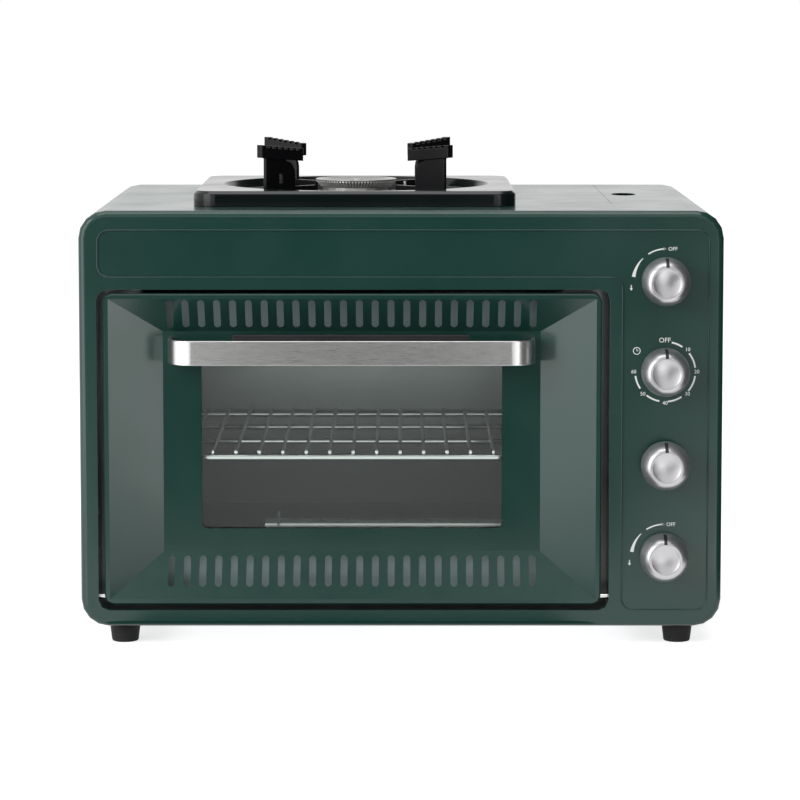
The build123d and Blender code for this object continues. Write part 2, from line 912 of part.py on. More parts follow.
def make_handle_bar():
    left, right = handle_ends()
    outer = strap_outline(left, right, 0)
    inner = strap_outline(left, right, handle_thickness)
    z = (handle_z - handle_height / 2, handle_z + handle_height / 2)
    return top_slab(outer - inner, z)


def strap_outline(left, right, inset):
    """U-shaped plan outline of the handle, open towards the door."""
    radius = handle_radius - inset
    front = front_y - handle_reach + inset
    back = front_y + bevel_depth
    points = rounded_points((left + inset, right - inset), (front, back + radius), radius, corner_steps)
    front_points = points[2 * (corner_steps + 1):]
    ends = [(right - inset, back), (left + inset, back)]
    return make_face(Polyline(*front_points, *ends, close=True))


def make_handle_posts():
    posts = []
    for x in handle_screw_xs():
        half = handle_post_width / 2
        z = (handle_z - handle_height / 2 + 2, handle_z + handle_height / 2 - 2)
        post = block((x - half, x + half), (bevel_depth - handle_post_length, bevel_depth), z)
        hole_start = at(x, bevel_depth - handle_post_length + 1, handle_z)
        posts.append(post - square_hole(hole_start, at(x, bevel_depth, handle_z), handle_hole_width()))
    return as_one(posts)


def handle_hole_width():
    return 2 * (handle_screw_radius + running_gap)


def side_hole_width():
    return 2 * (door_screw_radius + running_gap)


def make_handle_screws():
    screws = []
    for x in handle_screw_xs():
        tip = at(x, bevel_depth - handle_post_length + 2, handle_z)
        seat = at(x, flat_back, handle_z)
        head_end = at(x, flat_back + handle_screw_head_height, handle_z)
        screws.append(screw(tip, seat, head_end, handle_screw_radius, handle_screw_head_radius))
    return screws


def make_grip():
    back_of_bar = handle_thickness - handle_reach
    centre = (flat_left + flat_right) / 2
    x = (centre - grip_length / 2, centre + grip_length / 2)
    z = (handle_z - handle_height / 2, handle_z + handle_height / 2 + grip_rise)
    grip = block(x, (back_of_bar, back_of_bar + grip_depth), z)
    long_edges = grip.edges().filter_by(Axis.X).sort_by(Axis.Y)[-2:]
    return chamfer(long_edges, grip_edge)


def door_screw_lines():
    """Start at the head's outer face side and end at the tip, for each side screw."""
    lines = []
    for side, outward in ((door_left, -1), (door_right, 1)):
        for rise in door_screw_rises:
            start = at(side, door_screw_depth, door_bottom + rise)
            lines.append((start, start - Vector(outward * door_screw_length, 0, 0)))
    return lines


def make_door_side_screws():
    screws = []
    for start, end in door_screw_lines():
        head_end = start + (start - end).normalized() * door_screw_head_height
        screws.append(screw(end, start, head_end, door_screw_radius, door_screw_head_radius))
    return screws


def hinge_sides():
    """Jamb face, door edge and outward direction at the left and the right hinge."""
    return ((opening_left, door_left, -1), (opening_right, door_right, 1))


def make_hinge_blocks():
    blocks = []
    for jamb, _, outward in hinge_sides():
        near = jamb + outward * front_sheet
        far = near + outward * hinge_block_length
        x = (min(near, far), max(near, far))
        z = (hinge_z - hinge_block_height / 2, hinge_z + hinge_block_height / 2)
        body = block(x, (front_sheet, 2 * hinge_depth), z)
        blocks.append(body - bore(at(near, hinge_depth, hinge_z), at(far, hinge_depth, hinge_z), pin_bore()))
    return as_one(blocks)


def pin_bore():
    return hinge_pin_radius + running_gap


def make_hinge_pins():
    pins = []
    for jamb, edge, outward in hinge_sides():
        outer = jamb + outward * (front_sheet + hinge_block_length)
        inner = edge - outward * (sheet + hinge_bush_length)
        pins.append(round_bar(at(outer, hinge_depth, hinge_z), at(inner, hinge_depth, hinge_z), hinge_pin_radius))
    return as_one(pins)


def make_hinge_bushes():
    bushes = []
    depth = (hinge_depth - hinge_bush_front, 2 * hinge_depth)
    x = (door_left + sheet, door_right - sheet)
    z = (door_bottom + sheet, door_top - sheet)
    room = front_slab(panel(x, z, door_corner_radius - sheet), depth)
    for _, edge, outward in hinge_sides():
        near = edge - outward * sheet
        far = near - outward * hinge_bush_length
        top = hinge_z + hinge_block_height / 2
        body = block((min(near, far), max(near, far)), depth, (z[0], top)) & room
        bushes.append(body - bore(at(near, hinge_depth, hinge_z), at(far, hinge_depth, hinge_z), pin_bore()))
    return as_one(bushes)


# Oven

def cells_of(solid, x_cuts, depth_cuts, z_cuts):
    """Solids that a solid falls into when it is cut at each X, depth and Z given, from end to end."""
    cells = []
    for x in zip(x_cuts, x_cuts[1:]):
        for depth in zip(depth_cuts, depth_cuts[1:]):
            for z in zip(z_cuts, z_cuts[1:]):
                cell = solid & block(x, depth, z)
                if cell:
                    cells += cell.solids()
    return cells


def make_liner():
    """Oven lining: a flanged box of sheets welded along their folds, each of them a solid of its own."""
    box_x = (cavity_left - sheet, cavity_right + sheet)
    box_z = (cavity_floor - sheet, cavity_top + sheet)
    back = cavity_back_depth + sheet
    liner = front_slab(panel(box_x, box_z, cavity_radius + sheet), (jamb_depth, back))
    reach = front_sheet + liner_flange_reach - sheet
    flange_x = (opening_left - reach, opening_right + reach)
    flange_z = (opening_bottom - reach, opening_top + reach)
    liner += front_slab(panel(flange_x, flange_z, opening_radius), (jamb_depth, liner_face))
    cavity = panel((cavity_left, cavity_right), (cavity_floor, cavity_top), cavity_radius)
    liner -= front_slab(cavity, (jamb_depth, cavity_back_depth))
    for top in ledge_heights:
        for wall, inward in ((cavity_left, 1), (cavity_right, -1)):
            liner += make_ledge(wall, inward, top)
    duct_z = cavity_top - duct_top_drop
    vent_z = (duct_z - duct_height + duct_vent_inset, duct_z - duct_vent_inset)
    for x in spaced(9, slot_pitch, cavity_x):
        liner -= block((x - slot_width / 2, x + slot_width / 2), (cavity_back_depth, back), vent_z)
    vent_depth = (liner_vent_depth - liner_vent_length / 2, liner_vent_depth + liner_vent_length / 2)
    for x in spaced(liner_vent_count, liner_vent_pitch, cavity_x):
        vent_x = (x - liner_vent_width / 2, x + liner_vent_width / 2)
        liner -= block(vent_x, vent_depth, (cavity_floor - sheet, cavity_floor))
    wall = (cavity_right - cavity_radius, cavity_right + 2 * sheet)
    for depth, z, radius in wall_holes():
        liner -= bore(at(wall[0], depth, z), at(wall[1], depth, z), radius)
    folds_x = (flange_x[0], cavity_left + cavity_radius, cavity_right - cavity_radius, flange_x[1])
    folds_z = (flange_z[0], cavity_floor + cavity_radius, cavity_top - cavity_radius, flange_z[1])
    walls = cells_of(liner, folds_x, (jamb_depth, liner_face, cavity_back_depth), folds_z)
    rear_wall = cells_of(liner, box_x, (cavity_back_depth, back), box_z)
    return as_one(walls + rear_wall)


def make_ledge(wall, inward, top):
    """Pressed rack ledge with a flat top and a sloping underside, along one side wall."""
    tip = wall + inward * ledge_reach
    points = [(wall, top), (tip, top), (tip, top - ledge_thickness / 3), (wall, top - ledge_thickness)]
    outline = make_face(Polyline(*points, close=True))
    return front_slab(outline, (ledge_front_depth, cavity_back_depth - ledge_back_gap))


def wall_holes():
    """Depth, height and radius of the holes through the oven's right wall and the shield."""
    z = oven_burner_z + probe_rise
    return [
        (oven_burner_depth, oven_burner_z, oven_burner_radius + seat_gap),
        (oven_burner_depth + probe_offset, z, thermocouple_radius + probe_hole_gap),
        (oven_burner_depth - probe_offset, z, electrode_radius + probe_hole_gap),
    ]


def make_door_seal():
    x = (cavity_left - seal_width, cavity_right + seal_width)
    z = (cavity_floor - seal_width, cavity_top + seal_width)
    ring = panel(x, z, cavity_radius + seal_width)
    ring -= panel((cavity_left, cavity_right), (cavity_floor, cavity_top), cavity_radius)
    return front_slab(ring, (door_depth + seat_gap, jamb_depth))


def make_rack():
    """Wire rack: a bent outer wire, cross wires inside it and bars lying on top of them."""
    half = rack_width / 2 - rack_wire_radius
    front = rack_front_depth + rack_wire_radius
    back = rack_front_depth + rack_length - rack_wire_radius
    middle = (front + back) / 2
    plan = Plane(origin=at(cavity_x, middle, rack_z))
    corner = rack_corner_cut
    reach = (back - front) / 2
    quarter = [(half, reach - corner), (half - corner, reach)]
    turns = [(1, 1), (-1, 1), (-1, -1), (1, -1)]
    ring = []
    for sx, sy in turns:
        pair = quarter if sx * sy > 0 else quarter[::-1]
        ring += [(sx * x, sy * y) for x, y in pair]
    loop = plan * Polyline((half, 0), *ring, (half, 0))
    section = Plane(origin=loop @ 0, z_dir=loop % 0) * RegularPolygon(rack_wire_radius, wire_sides)
    ring_wire = sweep(section, path=loop, transition=Transition.RIGHT)
    ends_x = (cavity_x - half - rack_wire_radius, cavity_x + half + rack_wire_radius)
    bends = (front - rack_wire_radius, front + corner, back - corner, back + rack_wire_radius)
    wires = cells_of(ring_wire, ends_x, bends, (rack_z - rack_wire_radius, rack_z + rack_wire_radius))
    cross_half = half - rack_wire_radius - weld_gap
    cross_z = rack_z + rack_wire_radius - rack_cross_radius
    for depth in spaced(rack_cross_count, (back - front) / (rack_cross_count + 1), middle):
        start = at(cavity_x - cross_half, depth, cross_z)
        wires.append(wire(start, start + Vector(2 * cross_half, 0, 0), rack_cross_radius))
    bar_z = rack_z + rack_wire_radius + rack_bar_radius + weld_gap
    for x in spaced(rack_bar_count, rack_bar_pitch, cavity_x):
        start = at(x, front - rack_bar_overrun, bar_z)
        wires.append(wire(start, at(x, back + rack_bar_overrun, bar_z), rack_bar_radius))
    return as_one(wires)


def wire(start, end, radius):
    """Straight wire with eight flats, as drawn rod has, lying on one of them."""
    axis = end - start
    outline = RegularPolygon(radius, wire_sides, major_radius=False, rotation=180 / wire_sides)
    return extrude(Plane(origin=start, x_dir=(0, 0, 1), z_dir=axis) * outline, amount=axis.length)


def make_oven_burner():
    start = at(oven_burner_left, oven_burner_depth, oven_burner_z)
    end = at(oven_burner_right, oven_burner_depth, oven_burner_z)
    tube = rod(start, end, oven_burner_radius)
    mouth = at(oven_burner_right + oven_burner_mouth_length, oven_burner_depth, oven_burner_z)
    tube += rod(end, mouth, oven_burner_radius + oven_burner_mouth_rim)
    inside = start + Vector(2 * oven_burner_wall, 0, 0)
    tube -= rod(inside, mouth, oven_burner_radius - oven_burner_wall)
    port_top = oven_burner_z + oven_burner_radius
    middle = (oven_burner_left + cavity_right) / 2
    for x in spaced(oven_port_count, oven_port_pitch, middle):
        tube -= block(
            (x - oven_port_width / 2, x + oven_port_width / 2),
            (oven_burner_depth - oven_port_length / 2, oven_burner_depth + oven_port_length / 2),
            (oven_burner_z + oven_burner_radius / 2, port_top),
        )
    return tube


def make_oven_burner_brackets():
    brackets = []
    hole = oven_burner_radius + running_gap
    top = oven_burner_z + oven_bracket_rise
    depth = (oven_burner_depth - oven_bracket_width / 2, oven_burner_depth + oven_bracket_width / 2)
    for x in (oven_burner_left + oven_bracket_insets[0], cavity_right - oven_bracket_insets[1]):
        plate = block((x, x + bracket_thickness), depth, (cavity_floor, top))
        foot = block((x, x + oven_bracket_foot), depth, (cavity_floor, cavity_floor + bracket_thickness))
        bracket = plate + foot - bore(
            at(x, oven_burner_depth, oven_burner_z),
            at(x + bracket_thickness, oven_burner_depth, oven_burner_z),
            hole,
        )
        brackets.append(bracket)
    return as_one(brackets)


def make_thermocouple():
    depth, z, _ = wall_holes()[1]
    tip = at(cavity_right - thermocouple_reach, depth, z)
    tail = at(shield_x + shield_flange, depth, z)
    probe = rod(tip, tail, thermocouple_radius)
    end_z = knob_heights["safety"]
    points = [
        tail - Vector(1, 0, 0),
        at(knob_x, depth, z),
        at(knob_x, depth, end_z),
        at(knob_x, safety_back_depth, end_z),
    ]
    return probe + bent_tube(points, pipe_bend, thermocouple_lead_radius)


def make_oven_electrode():
    depth, z, _ = wall_holes()[2]
    front = at(cavity_right - electrode_reach, depth, z)
    seat = at(shield_x + sheet, depth, z)
    sleeve = rod(front, seat + Vector(electrode_reach, 0, 0), electrode_radius)
    needle = wire(front - Vector(electrode_reach, 0, 0), front, electrode_needle_radius)
    collar = rod(seat, seat + Vector(electrode_radius, 0, 0), electrode_collar_radius)
    return sleeve + needle + collar


def make_exhaust_duct():
    z_top = cavity_top - duct_top_drop
    x = (cavity_x - duct_width / 2, cavity_x + duct_width / 2)
    depth = (cavity_back_depth + sheet, back_panel_depth)
    duct = block(x, depth, (z_top - duct_height, z_top))
    inside = (z_top - duct_height + sheet, z_top - sheet)
    return duct - block((x[0] + sheet, x[1] - sheet), depth, inside)


def make_heat_shield():
    z = (shell_floor + sheet, bay_floor)
    depth = (jamb_depth + shield_gap, bay_back_depth - shield_gap)
    shield = block((shield_x, shield_x + sheet), depth, z)
    bay = (bay_front_depth, depth[1])
    shield += block((shield_x, bay_left + shield_flange), bay, (bay_floor - sheet, bay_floor))
    shield += block((shield_x, shield_x + shield_flange), depth, (z[0], z[0] + sheet))
    for hole_depth, hole_z, radius in wall_holes():
        shield -= bore(at(shield_x, hole_depth, hole_z), at(shield_x + sheet, hole_depth, hole_z), radius)
    return shield


# Stove

def make_stove_plate():
    edge = plate_edge - sheet / 2
    shoulder = plate_top - sheet - edge
    plate = stack([plate_ring(0, body_top), plate_ring(0, plate_top - plate_edge), plate_ring(plate_edge, plate_top)])
    under = [plate_ring(sheet, body_top), plate_ring(sheet, shoulder), plate_ring(sheet + edge, plate_top - sheet)]
    hollow = stack(under)
    dish = dish_solid(dish_radius, dish_floor_radius, plate_top, dish_floor)
    keep = dish_solid(dish_radius + 2 * sheet, dish_floor_radius + 2 * sheet, plate_top, dish_floor - sheet)
    plate = plate - (hollow - keep) - dish
    hole = (at(stove_x, stove_depth, body_top), at(stove_x, stove_depth, plate_top))
    plate -= prism(*hole, plate_hole_radius, dish_sides)
    plate -= bore(electrode_place(body_top), electrode_place(plate_top), 3.0)
    return plate


def plate_ring(inset, z):
    """Ring of points round the stove plate's outline, brought in by a distance, at a height."""
    x = plate_width / 2 - inset
    y = plate_depth / 2 - inset
    points = rounded_points((-x, x), (-y, y), plate_radius - inset, corner_steps)
    return [at(stove_x + px, stove_depth + py, z) for px, py in points]


def dish_solid(top_radius, floor_radius, top, floor):
    """Round bowl with a flat floor and a bent wall, centred on the stove burner."""
    bend = (floor_radius + 0.66 * (top_radius - floor_radius), floor + 0.3 * (top - floor))
    points = [(0, floor), (floor_radius, floor), bend, (top_radius, top), (0, top)]
    return Pos(stove_x, front_y + stove_depth, 0) * lathe(points, dish_sides)


def electrode_place(z):
    return at(stove_x + burner_cap_radius + stove_electrode_gap, stove_depth, z)


def mixing_direction():
    """Unit vector in plan from the stove burner to the stove valve."""
    run = Vector(valve_left() - stove_x, nozzle_depth - stove_depth, 0)
    return run.normalized()


def valve_left():
    return knob_x - valve_size / 2


def along_mixing(distance):
    return at(stove_x, stove_depth, mixing_z) + mixing_direction() * distance


def make_burner_body():
    r = burner_bowl_radius
    neck = r - burner_neck_step
    wall = burner_bowl_wall
    low = burner_bowl_bottom
    profile = [
        (0, low),
        (neck, low),
        (neck, dish_floor - burner_neck_drop),
        (r, dish_floor - burner_neck_drop + burner_neck_step),
        (r, bowl_top),
        (r - wall, bowl_top),
        (neck - wall, dish_floor - burner_neck_drop + wall),
        (neck - wall, low + wall),
        (0, low + wall),
    ]
    bowl = Pos(stove_x, front_y + stove_depth, 0) * lathe(profile, burner_sides)
    stub_radius = mixing_radius - mixing_wall - running_gap
    stub = rod(along_mixing(neck - wall / 2), along_mixing(mixing_stub_end), stub_radius)
    return bowl + stub - bore(along_mixing(0), along_mixing(mixing_stub_end), stub_radius - 2)


def make_burner_cap():
    """Burner cap with a ring of gas slots cut up into its coned underside."""
    r = burner_cap_radius
    foot = burner_bowl_radius
    top = bowl_top + burner_cap_height
    profile = [
        (0, bowl_top),
        (foot, bowl_top),
        (r, top - burner_cap_rim),
        (r, top),
        (r - burner_cap_land, top),
        (r - burner_cap_land - 2 * burner_cap_hollow, top - burner_cap_hollow),
        (burner_cap_boss_radius + 1, top - burner_cap_hollow),
        (burner_cap_boss_radius, top - burner_cap_boss_drop),
        (0, top - burner_cap_boss_drop),
    ]
    place = Pos(stove_x, front_y + stove_depth, 0)
    notch = Box(r, burner_tooth_width, burner_tooth_height)
    notch_place = Pos(foot - burner_cap_root + r / 2, 0, bowl_top + burner_tooth_height / 2)
    first = 180 / burner_tooth_count
    step = 360 / burner_tooth_count
    notches = [place * Rot(0, 0, first + i * step) * notch_place * notch for i in range(burner_tooth_count)]
    return place * lathe(profile, burner_sides) - notches


def make_mixing_tube():
    start = along_mixing(mixing_tube_start)
    end = along_mixing(mixing_tube_end)
    return rod(start, end, mixing_radius) - bore(start, end, mixing_radius - mixing_wall)


def make_burner_bracket():
    top = burner_bowl_bottom
    floor = cavity_top + sheet
    t = bracket_thickness
    y = (stove_depth - burner_bracket_depth / 2, stove_depth + burner_bracket_depth / 2)
    left = stove_x - burner_bracket_width / 2
    right = stove_x + burner_bracket_width / 2
    bracket = block((left, right), y, (top - t, top))
    for x in (left, right - t):
        bracket += block((x, x + t), y, (floor, top))
    for x in (left - burner_bracket_foot, right - t):
        bracket += block((x, x + burner_bracket_foot + t), y, (floor, floor + t))
    return bracket


def make_stove_electrode():
    tail = electrode_place(dish_floor - stove_electrode_tail)
    seat = electrode_place(dish_floor)
    sleeve_top = electrode_place(dish_floor + stove_electrode_rise)
    sleeve = rod(tail, sleeve_top, electrode_radius)
    collar = rod(seat, seat + Vector(0, 0, stove_electrode_collar), electrode_collar_radius)
    needle = rod(sleeve_top, sleeve_top + Vector(0, 0, stove_electrode_tip), electrode_needle_radius)
    return sleeve + collar + needle


def make_pan_support(angle, split):
    """Bracket along a spoke of the dish: a foot, a leg plate and a sloped ridged bar."""
    slope = (support_rise_outer - support_rise_inner) / (support_outer - support_inner)

    def rise(r):
        return body_top + support_rise_inner + slope * (r - support_inner)

    bar_points = [
        (support_inner, rise(support_inner) - support_bar_height),
        (support_outer, rise(support_outer) - support_bar_height),
        (support_outer, rise(support_outer)),
        (support_inner, rise(support_inner)),
    ]
    bar = spoke_slab(make_face(Polyline(*bar_points, close=True)), support_bar_width)
    pitch = (support_outer - support_inner) / (support_notches + 1)
    for i in range(support_notches):
        r = support_inner + (i + 1) * pitch
        cut = Pos(r, rise(r)) * Rectangle(support_notch_width, 2 * support_notch_depth)
        bar -= spoke_slab(cut, 2 * support_bar_width)
    leg_top = rise(support_leg_inner) - support_bar_height / 2
    leg_bottom = dish_floor + support_leg_lift
    leg_height = leg_top - leg_bottom
    leg_centre = ((support_leg_inner + support_leg_outer) / 2, leg_bottom + leg_height / 2)
    leg_outline = Pos(*leg_centre) * Rectangle(support_leg_outer - support_leg_inner, leg_height)
    shoulder = rise(support_leg_inner) - support_bar_height - support_leg_radius
    notch_centre = (support_leg_inner, shoulder + support_leg_radius)
    corner = Pos(*notch_centre) * Rectangle(2 * support_leg_radius, 2 * support_leg_radius)
    shoulder_round = RegularPolygon(support_leg_radius, 4 * corner_steps)
    leg_outline -= corner - Pos(support_leg_inner + support_leg_radius, shoulder) * shoulder_round
    if split:
        split = (dish_floor + support_split_rise + support_fin_height / 2, shoulder)
        middle = Pos(leg_centre[0], (split[0] + split[1]) / 2)
        leg_outline -= middle * Rectangle(support_split_width, split[1] - split[0])
    leg = spoke_slab(leg_outline, support_leg_thickness)
    foot_middle = (support_foot_inner + support_foot_outer) / 2
    foot_length = support_foot_outer - support_foot_inner
    foot = Pos(foot_middle, 0, dish_floor + support_foot_thickness / 2)
    foot *= Box(foot_length, support_foot_width, support_foot_thickness)
    fin = Pos(foot_middle, 0, dish_floor + support_fin_height / 2)
    fin *= Box(foot_length, support_leg_thickness, support_fin_height)
    bracket = bar + leg + foot + fin
    return Pos(stove_x, front_y + stove_depth, 0) * Rot(0, 0, angle) * bracket


def spoke_slab(outline, width):
    """Slab whose outline is drawn as radius and height, centred across the spoke."""
    return extrude(Plane.XZ * outline, amount=width / 2, both=True)


# Controls

def make_control_plate():
    x = (knob_x - control_plate_width / 2, knob_x + control_plate_width / 2)
    z = (knob_heights["oven"] - control_plate_margin, knob_heights["stove"] + control_plate_margin)
    plate = front_slab(panel(x, z, window_radius), (panel_back, valve_front))
    for height in knob_heights.values():
        plate -= bore(at(knob_x, panel_back, height), at(knob_x, valve_front, height), stem_hole_radius)
    return plate


def stem_bore(z):
    radius = stem_radius + running_gap
    return bore(at(knob_x, 0, z), at(knob_x, stem_tail_depth + push_travel + push_spare, z), radius)


def valve_block(z, size, back):
    half = size / 2
    front = valve_front + valve_boss_length
    body = block((knob_x - half, knob_x + half), (front, back), (z - half, z + half))
    body = chamfer(body.edges().filter_by(Axis.Y), valve_edge)
    return body + rod(at(knob_x, valve_front, z), at(knob_x, front, z), valve_boss_radius)


def make_stove_valve():
    z = knob_heights["stove"]
    body = valve_block(z, valve_size, valve_back_depth)
    body += rod(along_mixing(nozzle_start), along_mixing(nozzle_end), nozzle_radius)
    return body - stem_bore(z)


def make_oven_valve():
    z = knob_heights["oven"]
    return valve_block(z, valve_size, valve_back_depth) - stem_bore(z)


def make_timer_unit():
    z = knob_heights["timer"]
    return valve_block(z, timer_size, valve_back_depth) - stem_bore(z)


def make_safety_valve():
    z = knob_heights["safety"]
    body = rod(at(knob_x, valve_front, z), at(knob_x, safety_back_depth, z), safety_radius)
    return body - stem_bore(z)


def piped(start, end):
    """Straight pipe with a hexagon nut at each end."""
    axis = (end - start).normalized()
    pipe = rod(start, end, pipe_radius)
    pipe += hex_nut(start, start + axis * pipe_nut_length)
    pipe += hex_nut(end - axis * pipe_nut_length, end)
    return pipe


def make_valve_pipes():
    half_valve = valve_size / 2
    runs = (
        (knob_heights["stove"] - half_valve, knob_heights["timer"] + timer_size / 2),
        (knob_heights["timer"] - timer_size / 2, knob_heights["safety"] + safety_radius),
        (knob_heights["safety"] - safety_radius, knob_heights["oven"] + half_valve),
    )
    pipes = []
    for high, low in runs:
        reach = 1.4 if low == knob_heights["safety"] + safety_radius else 0
        lift = 1.4 if high == knob_heights["safety"] - safety_radius else 0
        pipe = piped(at(knob_x, pipe_depth, high + lift), at(knob_x, pipe_depth, low - reach))
        pipes.append(pipe)
    valve = rod(
        at(knob_x, valve_front, knob_heights["safety"]),
        at(knob_x, safety_back_depth, knob_heights["safety"]),
        safety_radius + 0.02,
    )
    return as_one([pipe - valve for pipe in pipes])


def make_burner_pipe():
    mouth = oven_burner_right + 10
    points = [
        at(knob_x, valve_back_depth, oven_burner_z),
        at(knob_x, oven_burner_depth, oven_burner_z),
        at(mouth, oven_burner_depth, oven_burner_z),
    ]
    pipe = bent_tube(points, pipe_bend, pipe_radius)
    pipe += hex_nut(points[0], points[0] + Vector(0, pipe_nut_length, 0))
    return pipe


def knob_base(name):
    """Depth of a knob's back edge, which is negative because it stands in front of the panel."""
    if name == "safety":
        return field_depth - knob_gap - push_travel - push_spare
    return field_depth - knob_gap


def make_knob(name):
    """Knob with a rounded outer ring, a dished middle, a hollow back and a hub for its stem."""
    r = knob_radius
    h = knob_height
    dish = knob_dish_radius
    ridge = dish + knob_ridge
    hollow_top = h - knob_dish_depth - 2 * knob_wall
    profile = [
        (r, 0),
        (r, knob_skirt),
        (r - 1.8, h * 0.66),
        (ridge, h),
        (dish, h - 0.4),
        (dish * 0.65, h - knob_dish_depth * 0.8),
        (0, h - knob_dish_depth),
        (0, 0),
        (knob_hub_radius, 0),
        (knob_hub_radius, hollow_top),
        (r - 2 * knob_wall, hollow_top),
        (r - knob_wall, 0),
    ]
    body = lathe(profile, knob_sides)
    if name != "safety":
        body -= pointer_groove((r, knob_skirt + 4), (ridge, h))
    back = at(knob_x, knob_base(name), knob_heights[name])
    place = Plane(origin=back, x_dir=(1, 0, 0), z_dir=(0, -1, 0))
    return place * body - bore(back - Vector(0, stem_hub_length, 0), back, stem_radius + running_gap)


def pointer_groove(low, high):
    """Slanted slot in a knob's ring that marks its twelve o'clock, under the line from low to high."""
    line = Vector(low[0], low[1]) - Vector(high[0], high[1])
    outward = Vector(-line.Y, line.X).normalized()
    if outward.Y < 0:
        outward = -outward
    corners = []
    for point, lift in ((low, -mark_depth), (high, -mark_depth), (high, knob_skirt), (low, knob_skirt)):
        corners.append((point[0] + outward.X * lift, point[1] + outward.Y * lift))
    outline = make_face(Plane.YZ * Polyline(*corners, close=True))
    return extrude(outline, amount=mark_width / 2, both=True)


def make_stem(name):
    z = knob_heights[name]
    front = knob_base(name) - stem_hub_length
    return round_bar(at(knob_x, front, z), at(knob_x, stem_tail_depth, z), stem_radius)


# Cartridge bay

def make_bay_tray():
    right = shell_inner_x
    depth = (bay_front_depth, bay_back_depth)
    tray = block((bay_left, right), depth, (bay_floor, bay_floor + sheet))
    tray += block((bay_left, bay_left + sheet), depth, (bay_floor, ledge_top))
    tray += block((bay_left, bay_left + bay_ledge), depth, (ledge_top - sheet, ledge_top))
    tray += block((bay_left - bay_lap, bay_left + sheet), depth, (shell_inner_top - sheet, shell_inner_top))
    tray += block((right - sheet, right), depth, (bay_floor, lid_hinge_bottom - lid_hinge_radius))
    for wall in (bay_front_depth, bay_back_depth - sheet):
        top = cartridge_z + cartridge_radius
        tray += block((bay_left, lid_hinge_x - 6), (wall, wall + sheet), (bay_floor, top))
        tray -= bore(at(cartridge_x, wall, cartridge_z), at(cartridge_x, wall + sheet, cartridge_z), collar_hole_radius)
    return tray


def make_cradle():
    inner = cartridge_radius + cradle_gap
    outer = inner + cradle_thickness
    ring = RegularPolygon(outer, foot_sides) - RegularPolygon(inner, foot_sides, major_radius=False)
    reach = 2 * outer
    edge = math.radians(cradle_half_angle)
    wedge = make_face(
        Polyline(
            (0, 0),
            (reach * math.sin(edge), -reach * math.cos(edge)),
            (-reach * math.sin(edge), -reach * math.cos(edge)),
            close=True,
        )
    )
    depth = (cradle_front_depth, body_depth - cradle_back_gap)
    trough = front_slab(Pos(cartridge_x, cartridge_z) * (ring & wedge), depth)
    floor = bay_floor + sheet
    foot_top = cartridge_z - outer * math.cos(edge / 2)
    room_outline = RegularPolygon(inner + cradle_thickness / 2, foot_sides)
    room = front_slab(Pos(cartridge_x, cartridge_z) * room_outline, depth)
    for side in (-1, 1):
        x = cartridge_x + side * outer * math.sin(edge / 2)
        foot = block((x - cradle_foot_width / 2, x + cradle_foot_width / 2), depth, (floor, foot_top + cradle_thickness))
        trough += foot - room
    return trough


def make_regulator():
    start = valve_back_depth
    disc_end = start + regulator_length
    neck_end = disc_end + regulator_neck_length
    x, z = cartridge_x, cartridge_z
    body = rod(at(x, start, z), at(x, disc_end, z), regulator_radius)
    body += rod(at(x, disc_end, z), at(x, neck_end, z), regulator_neck_radius)
    socket_start = at(x, neck_end - regulator_socket_depth, z)
    return body - bore(socket_start, at(x, neck_end, z), regulator_neck_radius - regulator_socket_wall)


def knuckle_depths(lid):
    """Depth limits of the hinge knuckles that belong to the lid, or to the shell."""
    length = lid_length / lid_knuckles
    first = 1 if lid else 0
    spans = []
    for i in range(first, lid_knuckles, 2):
        start = lid_front_depth + i * length
        spans.append((start + knuckle_gap / 2, start + length - knuckle_gap / 2))
    return spans


def knuckle(depth, skin):
    """One hinge knuckle: a barrel round the pin with the strip of skin that it is rolled from."""
    start = at(lid_hinge_x, depth[0], lid_hinge_z)
    end = at(lid_hinge_x, depth[1], lid_hinge_z)
    barrel = rod(start, end, lid_hinge_radius) + block((half_width - sheet, half_width), depth, skin)
    return barrel - bore(start, end, lid_pin_radius + running_gap)


def make_lid():
    keep = Pos((lid_left + half_width + 5) / 2, (lid_hinge_top + body_top + 5) / 2) * Rectangle(
        half_width + 5 - lid_left, body_top + 5 - lid_hinge_top
    )
    skin = (body_outline(0) - body_outline(sheet)) & keep
    lid = front_slab(skin, (lid_front_depth, lid_back_depth))
    rib = (body_outline(sheet) - body_outline(sheet + lid_flange)) & keep
    for depth in (lid_front_depth, lid_back_depth - sheet):
        lid += front_slab(rib, (depth, depth + sheet))
    for depth in knuckle_depths(lid=True):
        lid += knuckle(depth, skin=(lid_hinge_z, lid_hinge_top + sheet))
    points = []
    for i in range(finger_hole_sides):
        turn = 2 * math.pi * i / finger_hole_sides
        points.append((finger_hole_width / 2 * math.cos(turn), finger_hole_length / 2 * math.sin(turn)))
    hole = Pos(finger_hole_x, front_y + finger_hole_depth) * make_face(Polyline(*points, close=True))
    lid -= top_slab(hole, (shell_inner_top - sheet, body_top + sheet))
    ledge_room = block(
        (lid_left - 1, bay_left + bay_ledge + seat_gap),
        (lid_front_depth, lid_back_depth),
        (shell_inner_top - lid_flange - sheet, shell_inner_top),
    )
    return lid - ledge_room


def make_lid_pin():
    start = at(lid_hinge_x, lid_front_depth + knuckle_gap, lid_hinge_z)
    end = at(lid_hinge_x, lid_back_depth - knuckle_gap, lid_hinge_z)
    return round_bar(start, end, lid_pin_radius)


# Write every piece

